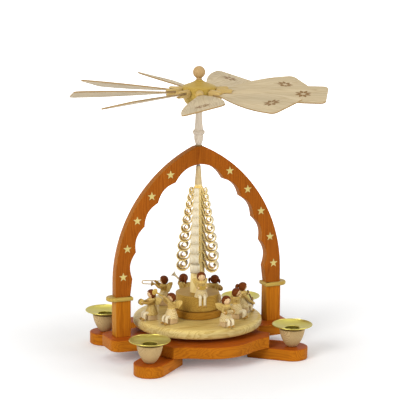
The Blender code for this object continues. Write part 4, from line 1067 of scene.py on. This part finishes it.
def blade_outline():
    """A straight root, a swell that follows a quarter of a sine, and rounded corners at the tip."""
    share = np.linspace(0, 1, 40)[1:, None]
    rise = (BLADE_HALF - BLADE_ROOT_HALF) * np.sin(share * QUARTER)
    swell = np.hstack([PEG_END + (BLADE_WIDEST - PEG_END) * share, BLADE_ROOT_HALF + rise])
    centre = (BLADE_TIP - BLADE_CORNER, BLADE_HALF - BLADE_CORNER)
    corner = arc(centre, BLADE_CORNER, QUARTER, 0, 14)
    root = [(BLADE_ROOT, BLADE_ROOT_HALF), (PEG_END, BLADE_ROOT_HALF)]
    side = np.vstack([root, swell, corner])
    return np.vstack([side * (1, -1), side[::-1]])


def blades():
    """Slotted pegs about the hub, each with a thin blade that carries a rosette on its upper face."""
    stem = peg_stem()
    leaf = board(blade_outline(), BLADE_THICK, BLADE_EASE)
    for joint in PITCHES:
        arm = joint["child"]
        number = arm.rsplit("_", 1)[1]
        aim = math.atan2(joint["axis"][1], joint["axis"][0])
        pose = (rotation("z", aim) @ rotation("x", BLADE_PITCH), (0, 0, PEG_HEIGHT))
        peg = Piece(*pose)
        for shape in (stem, jaw(1), jaw(-1)):
            peg.add(shape, PEG)
        peg.done(f"peg_look_{number}", arm, "natural_wood", f"peg_{number}")
        blade = Piece(*pose)
        blade.add(leaf, BLADE)
        blade.done(f"blade_look_{number}", arm, "pale_wood", f"blade_{number}")


# Figures

def hair(style):
    """A skull cap about the face: scalloped fringe, combed strands, and fuller at the nape in a bob."""
    ball = ellipsoid((0, 0, 0), (1, 1, 1), 72, 120)
    x, y, z = np.moveaxis(ball, -1, 0)
    tilt = 0.42
    face = np.array([math.cos(tilt), 0, -math.sin(tilt)])
    angle = np.arccos(np.clip(ball @ face, -1, 1))
    about_face = np.arctan2(y, z - face[2])
    fringe = 1.06 + 0.07 * np.cos(9 * about_face) - 0.05 * np.cos(about_face)
    cover = 1 / (1 + np.exp(-(angle - fringe) / 0.03))
    combed = np.arctan2(y, x + 0.35) + 0.5 * z
    strands = 0.09 * np.cos(30 * combed) * (1 - np.abs(z) ** 6)
    nape = np.clip(-z, 0, 1) * np.clip(0.5 - x, 0, 1)
    size = 3.9 + (0.84 + strands) * cover + 0.5 * nape * (style == "bob")
    return ball * size[:, :, None] + HEAD


def tail(made, path, start, swell, count):
    """A bunch of hair that swells and closes along its path."""
    radius = start + swell * np.sin(np.linspace(0.3, math.pi - 0.1, count))
    made.add(tube(smooth(path, count), radius), HAIR)


def head(made, style):
    """Face, neck and hair with eyes, mouth and cheeks."""
    made.add(ellipsoid(HEAD, (4.25, 4.2, 4.35), 32, 40), SKIN)
    made.add(tube([(0, 0, 15.6), (0, 0, 17.4), (0, 0, 18.6)], 1.9), SKIN)
    made.add(hair(style), HAIR)
    spots = [((3.83, 0, -1.40), (0.25, 0.55, 0.2), ROSE)]
    for side in (-1, 1):
        spots.append(((3.78, side * 1.51, 0.42), (0.40, 0.36, 0.46), INK))
        spots.append(((3.20, side * 1.93, -0.85), (0.5, 0.5, 0.55), ROSE))
    for place, radii, finish in spots:
        made.add(ellipsoid(HEAD + place, radii, 10, 14), finish)
    if style == "ponytail":
        tail(made, [(-4.0, 0, 23.6), (-6.0, 0, 23.0), (-6.6, 0, 20.0), (-6.0, 0, 16.6)], 0.4, 1.3, 20)
    if style == "pigtails":
        bunch = np.array([(-1.2, 4.4, 22.4), (-1.4, 5.6, 21.6), (-1.2, 5.9, 19.4), (-1.0, 5.6, 17.6)])
        for side in (-1, 1):
            tail(made, bunch * (1, side, 1), 0.3, 0.95, 16)


def waved(surface, depth, waves, shift=0.0):
    """A turned surface whose radius swells and shrinks round it by a share, one value per row."""
    around = np.linspace(0, FULL, surface.shape[1], endpoint=False)
    share = 1 + np.asarray(depth) * (np.cos(waves * around) - shift)
    return surface * np.stack([share, share, np.ones_like(share)], -1)


def dress(made, top, skirt):
    """A bodice, a short bell skirt with soft folds and a hem, a belt and a ruffled collar."""
    bodice = smooth([(1.9, 17.0), (3.4, 16.4), (4.3, 15.0), (3.9, 12.6), (3.45, 10.4)], 24)
    made.add(lathe(np.vstack([[(0.0, 17.1)], bodice, [(3.2, 9.4), (0.0, 9.4)]]), 48), top)
    bell = smooth([(3.3, WAIST), (3.9, 9.2), (5.0, 7.0), (6.4, 3.0), (HEM, 0.7)], 28)
    hem = [(HEM + 0.05, 0.45), (HEM - 0.05, 0.1), (HEM - 0.55, 0.0), (0.0, 0.0)]
    profile = np.vstack([[(0.0, WAIST + 0.1)], bell, hem])
    fall = np.clip((9.0 - profile[:, 1:]) / 9.0, 0, 1) * (profile[:, :1] > 0.1)
    made.add(waved(lathe(profile, 96), 0.03 * fall, 12, 1.0), skirt)
    belt = smooth([(3.2, WAIST + 0.6), (3.85, WAIST + 0.3), (3.85, WAIST - 0.3), (3.2, WAIST - 0.6)], 10)
    made.add(lathe(belt, 48), WING)
    collar = smooth([(2.0, 17.5), (3.3, 17.0), (4.3, 15.9), (3.8, 15.6), (2.2, 16.6)], 18)
    made.add(waved(lathe(collar, 72), np.full((18, 1), 0.05), 9), WING)


def limbs(made, hands, shin, sleeve_finish):
    """Bent sleeves with hands, and stockinged legs with shoes."""
    ankle = 1.9 - shin
    for side, hand in zip((1, -1), hands):
        shoulder = np.array([0.3, side * 3.4, SHOULDER - 1.0])
        elbow = (shoulder + hand) / 2 + (0, side * 1.3, -1.3)
        made.add(tube(smooth([shoulder, elbow, hand], 22), np.linspace(1.9, 1.25, 22)), sleeve_finish)
        made.add(ellipsoid(hand, (1.05, 1.05, 1.05), 14, 18), SKIN)
        y = side * LEG_SPREAD
        leg = smooth([(2.6, y, 2.3), (6.8, y, 2.3), (8.6, y, 1.6), (8.9, y, -0.4), (8.9, y, ankle)], 30)
        made.add(tube(leg, np.linspace(1.75, 1.45, 30)), WHITE)
        made.add(ellipsoid((10.2, y, ankle - 0.25), (2.3, 1.45, 1.35), 16, 22), UMBER)


def wings(made):
    """Two leaf-shaped wings whose lower edge is notched into feathers."""
    share = np.linspace(0, 1, 40)
    along = WING_LENGTH * share - WING_BITE
    breadth = WING_HALF * np.sin(math.pi * share**0.8) ** 0.8 + 0.5
    feathers = breadth * (0.95 + 0.10 * np.cos(16 * math.pi * share))
    lower = np.stack([along, -feathers], -1)
    upper = np.stack([along, 0.72 * breadth], -1)
    leaf = board(np.vstack([lower, upper[::-1][1:-1]]), 1.0, 0.35)
    for side in (-1, 1):
        spread = rotation("z", math.pi - side * WING_SPREAD)
        turn = spread @ rotation("y", -WING_RISE) @ rotation("x", QUARTER)
        made.add(leaf @ turn.T + np.array(WING_PLACE) * (1, side, 1), WING)


def belled(path, radius, bell=BELL_RADIUS, length=BELL_LENGTH):
    """A tube that flares into a bell over its last stretch, with a hollowed mouth."""
    path = np.asarray(path, float)
    aim = path[-1] - path[-2]
    aim = aim / np.linalg.norm(aim)
    share = np.linspace(0, 1, 14)[1:]
    flare = path[-1] + aim * (share * length)[:, None]
    radii = np.concatenate([np.full(len(path), radius), radius + (bell - radius) * share**2.2])
    outer = tube(np.vstack([path, flare]), radii, 24)
    spokes = outer[-1] - flare[-1]
    spokes = spokes / np.linalg.norm(spokes, axis=1, keepdims=True)
    mouth = path[-1] + aim * (length * np.linspace(0.97, 0.35, 8))[:, None]
    hollow = (bell - 0.35) * np.linspace(1, 0.05, 8) ** 1.3
    return np.concatenate([outer, mouth[:, None] + spokes * hollow[:, None, None]])


# Instruments: each adds itself to its figure and returns the places of the left and the right hand

def trumpet(made):
    """A long straight horn raised from the mouth."""
    length, rise = 17.5, math.radians(30)
    reach = length * np.array([math.cos(rise), 0, math.sin(rise)])
    made.add(belled(np.linspace(MOUTH, MOUTH + reach, 8), 0.85), GILT)
    return MOUTH + reach * 0.35, MOUTH + reach * 0.47


def horn(made):
    """A short curved horn with a wide pale bell to one side."""
    bend = np.array([5.0, 1.2, -2.4])
    throat = np.array([7.2, 4.6, 0.8])
    made.add(belled(smooth([MOUTH, MOUTH + bend, MOUTH + throat], 20), 1.0), WHITE)
    return MOUTH + bend * 0.95, MOUTH + bend * 0.75


def trombone(made):
    """A long wire slide in front and a bell below the mouthpiece."""
    reach, drop, bow_radius = 19.5, 3.6, 1.8
    near = MOUTH + (4.9, 0, -drop)
    bow = arc((MOUTH[0] + reach - bow_radius, MOUTH[2] - bow_radius), bow_radius, QUARTER, -QUARTER, 14)
    bend = np.insert(bow, 1, 0.0, axis=1)
    path = np.vstack([np.linspace(MOUTH, bend[0], 10)[:-1], bend, np.linspace(bend[-1], near, 10)[1:]])
    made.add(tube(path, 0.5, 12), GILT)
    made.add(belled(np.linspace(near - (0.6, 0, 0.1), near + (0.3, 0, 0), 4), 0.8, 3.3, 4.4), GILT)
    return near, MOUTH + (reach * 0.3, 0, 0)


def lute(made):
    """A bowl-backed lute with a gilt belly, a sound hole and a dark neck, across the chest."""
    turn = rotation("x", math.radians(20))
    place = CHEST + (1.6, -2.2, -2.0)
    neck_end = 11.5
    bowl = ellipsoid((0, 0, 0), (2.1, 4.6, 3.3), 24, 36)
    bowl[:, :, 0] = np.minimum(bowl[:, :, 0], 1.25)
    neck = tube(np.linspace((0.4, 2.8, 0), (0.4, neck_end, 0), 8), np.linspace(0.95, 0.7, 8))
    for shape, finish in (
        (bowl, UMBER),
        (ellipsoid((1.28, 0, 0), (0.28, 3.6, 2.5), 16, 30), GILT),
        (ellipsoid((1.52, 0.6, 0), (0.12, 0.8, 0.8), 10, 20), INK),
        (neck, DARK),
        (ellipsoid((0.0, neck_end + 0.1, 0), (1.0, 0.8, 0.8), 12, 16), DARK),
    ):
        made.add(shape @ turn.T + place, finish)
    return place + turn @ (0.2, 7.2, 0), place + turn @ (1.5, 0, 0)


def cello(made):
    """A waisted fiddle held upright between the knees, with a gilt rim and a bow."""
    body = np.array([9.8, 0, 4.2])
    chin = np.array([5.5, 0, 16.7])
    angle = np.linspace(0, FULL, 72, endpoint=False)
    waist = 1 - 0.28 * np.exp(-((np.sin(angle) - 0.1) / 0.24) ** 2)
    across = 3.1 * np.cos(angle) * waist * (1 - 0.14 * np.sin(angle))
    outline = np.stack([across, 5.6 * np.sin(angle)], -1)
    for shape, thick, lift, finish in (
        (outline, 2.3, 0.0, DARK),
        (outline * 1.03, 0.5, 0.0, GILT),
        (inset(outline, 0.55), 0.5, 1.15, UMBER),
    ):
        upright = (board(shape, thick, 0.2) + (0, 0, lift))[:, :, [2, 0, 1]]
        made.add(upright + body, finish)
    made.add(tube(np.linspace(body + (0.9, 0, 1.0), chin, 10), 0.75, 14), DARK)
    made.add(ellipsoid(chin, (0.9, 0.8, 1.2), 12, 16), DARK)
    made.add(tube(np.linspace(body + (1.9, -4.7, 0), body + (1.9, 4.7, 0), 8), 0.4, 12), GILT)
    return body + (chin - body) * 0.8, body + (1.6, -4.5, 0)


def flute(made):
    """A cross flute with ringed joints, held to one side of the mouth."""
    start = MOUTH + (0.9, 3.0, 0)
    reach = np.array([2.25, -15.0, -0.9])
    rings = 0.8 + 0.18 * (np.arange(24) % 6 == 1)
    made.add(tube(np.linspace(start, start + reach, 24), rings, 18), GILT)
    return start + reach * 0.42, start + reach * 0.72


def concertina(made):
    """Two end blocks and pleated bellows between the hands."""
    middle = CHEST + (1.2, 0, -2.2)
    angle = np.arange(6) * FULL / 6
    hexagon = np.stack([np.cos(angle), np.sin(angle)], -1)
    pleat = 1.75 + 0.3 * np.cos(np.arange(37) * QUARTER)
    y = np.broadcast_to(np.linspace(-4.4, 4.4, 37)[:, None], (37, 6))
    bellows = np.stack([np.outer(pleat, hexagon[:, 0]), y, np.outer(pleat, hexagon[:, 1])], -1)
    made.add(bellows + middle, DRESS)
    block = board(eased(2.55 * hexagon, 0.3, 3, closed=True), 1.6, 0.25) @ rotation("x", QUARTER).T
    for side in (-1, 1):
        made.add(block + middle + (0, side * 4.6, 0), UMBER)
    return middle + (0, 5.6, 0), middle - (0, 5.6, 0)


def cymbals(made):
    """Two small domed discs held out in front."""
    dome = smooth([(0.0, 0.0), (1.3, 0.1), (1.8, 0.7), (3.2, 1.0)], 20)
    disc = lathe(np.vstack([dome, dome[::-1] + (0, 0.18)]), 40)
    back = np.array([11.2, 2.4, SHOULDER - 1.3])
    for side in (-1, 1):
        made.add(disc @ rotation("x", side * QUARTER).T + back * (1, side, 1), GILT)
    return back, back * (1, -1, 1)


def songbook(made):
    """An open book with a gilt cover, bent along its spine."""
    turn = rotation("y", math.radians(-58))
    place = CHEST + (2.6, 0, -1.6)
    tall, wide, bend = 2.8, 4.2, math.radians(9)
    for thick, inside, finish, lift in ((0.5, 0.0, GILT, -0.2), (0.6, 0.3, WHITE, 0.15)):
        for side in (-1, 1):
            spine, edge = sorted((side * SEAM, side * (wide - inside)))
            page = rectangle((inside - tall, spine), (tall - inside, edge), 0.3, 4)
            leaf = board(page, thick, 0.12) @ rotation("x", side * bend).T
            made.add((leaf + (0, 0, lift)) @ turn.T + place, finish)
    return place + turn @ (0, wide - 0.1, 0.3), place + turn @ (0, 0.1 - wide, 0.3)


# Name, place as degrees and radius, way it looks, instrument, hair, bodice and skirt
FIGURES = (
    ("cymbals", -177.0, 53.0, -177.0, cymbals, "bob", ROBE, CAPE),
    ("trumpet", -149.0, 46.0, -159.0, trumpet, "bob", CAPE, DRESS),
    ("concertina", -82.0, 55.5, -82.0, concertina, "bob", CAPE, DRESS),
    ("flute", -45.0, 43.0, -45.0, flute, "bob", CAPE, DRESS),
    ("cello", -13.0, 48.0, -13.0, cello, "ponytail", CAPE, DRESS),
    ("lute", 42.0, 44.0, 42.0, lute, "pigtails", ROBE, CAPE),
    ("horn", 85.0, 47.0, 85.0, horn, "ponytail", ROBE, CAPE),
    ("trombone", 112.0, 50.0, 150.0, trombone, "short", ROBE, DRESS),
    ("singer", -104.0, 22.5, -104.0, songbook, "bob", CAPE, DRESS),
)


def figures():
    """Winged musicians who look outwards, eight on blocks and the singer on the drum's edge."""
    seat_block = board(rectangle((-BLOCK_HALF, -BLOCK_HALF), (BLOCK_HALF, BLOCK_HALF), 0.5), 6.4, 0.4)
    for name, degrees, radius, look, play, style, top, skirt in FIGURES:
        on_drum = name == "singer"
        seat = DRUM_TOP + SEAT if on_drum else TABLE_TOP + SEAT + BLOCK_HEIGHT
        angle = math.radians(degrees)
        place = (radius * math.cos(angle), radius * math.sin(angle), seat)
        made = Piece(rotation("z", math.radians(look)), place)
        head(made, style)
        dress(made, top, skirt)
        limbs(made, play(made), LONG_SHIN if on_drum else SHIN, top)
        wings(made)
        if not on_drum:
            made.add(seat_block + (0, 0, 3.2 - BLOCK_HEIGHT), BLOCK)
        made.done(f"figure_look_{name}", "rotor", "figure_paint", f"figure_{name}")


# Room

def lamp(name, place, aim, size, power):
    """A square soft light."""
    light = bpy.data.lights.new(name, "AREA")
    light.size = size
    light.energy = power
    obj = bpy.data.objects.new(name, light)
    obj.location = place
    obj.rotation_euler = (Vector(aim) - Vector(place)).to_track_quat("-Z", "Y").to_euler()
    bpy.context.scene.collection.objects.link(obj)


def seen(tree):
    """One where a ray comes from the camera, a mirror or glass."""
    path = put(tree, "ShaderNodeLightPath").outputs
    some = maths(tree, "MAXIMUM", path["Is Camera Ray"], path["Is Glossy Ray"])
    return maths(tree, "MAXIMUM", some, path["Is Transmission Ray"])


def surroundings():
    """A white world, softer as a light than as a background."""
    world = bpy.data.worlds.new("surroundings")
    world.use_nodes = True
    bpy.context.scene.world = world
    tree = world.node_tree
    background = tree.nodes["Background"].inputs
    background["Color"].default_value = (1, 1, 1, 1)
    tree.links.new(ramp(tree, seen(tree), 0.0, 1.0, 0.45, 1.0), background["Strength"])


def floor():
    """A pale floor that keeps the shadow and fades to white away from the object."""
    corners = [(x * FLOOR_HALF, y * FLOOR_HALF, 0) for x, y in ((-1, -1), (1, -1), (1, 1), (-1, 1))]
    mesh = bpy.data.meshes.new("floor")
    mesh.from_pydata(corners, [], [(0, 1, 2, 3)])
    material, tree, shader = new_material("floor")
    shader.inputs["Base Color"].default_value = (0.90, 0.90, 0.90, 1)
    shader.inputs["Roughness"].default_value = 0.9
    shader.inputs["Emission Color"].default_value = (1, 1, 1, 1)
    place = put(tree, "ShaderNodeTexCoord").outputs["Object"]
    away = put(tree, "ShaderNodeVectorMath", {0: place}, operation="LENGTH").outputs["Value"]
    glow = maths(tree, "MULTIPLY", ramp(tree, away, 0.15, 0.9, 0.12, 1.0), seen(tree))
    tree.links.new(glow, shader.inputs["Emission Strength"])
    mesh.materials.append(material)
    obj = bpy.data.objects.new("floor", mesh)
    bpy.context.scene.collection.objects.link(obj)
    obj.location.z = -FLOOR_DROP


def camera():
    """The photograph's own long lens, place and slight roll."""
    data = bpy.data.cameras.new("camera")
    data.sensor_width = CAMERA_SENSOR
    data.lens = CAMERA_LENS
    obj = bpy.data.objects.new("camera", data)
    obj.location = CAMERA_PLACE
    aim = (Vector(CAMERA_AIM) - Vector(CAMERA_PLACE)).to_track_quat("-Z", "Y").to_matrix()
    obj.rotation_euler = (aim @ Matrix.Rotation(CAMERA_ROLL, 3, "Z")).to_euler()
    bpy.context.scene.collection.objects.link(obj)
    bpy.context.scene.camera = obj


feet()
base()
posts()
arch()
stars()
candle_places()
bearings()
podium()
tree()
sleeve()
hub()
ball()
blades()
figures()
surroundings()
floor()
for settings in LAMPS:
    lamp(*settings)
camera()
bpy.context.scene.view_settings.view_transform = "Standard"
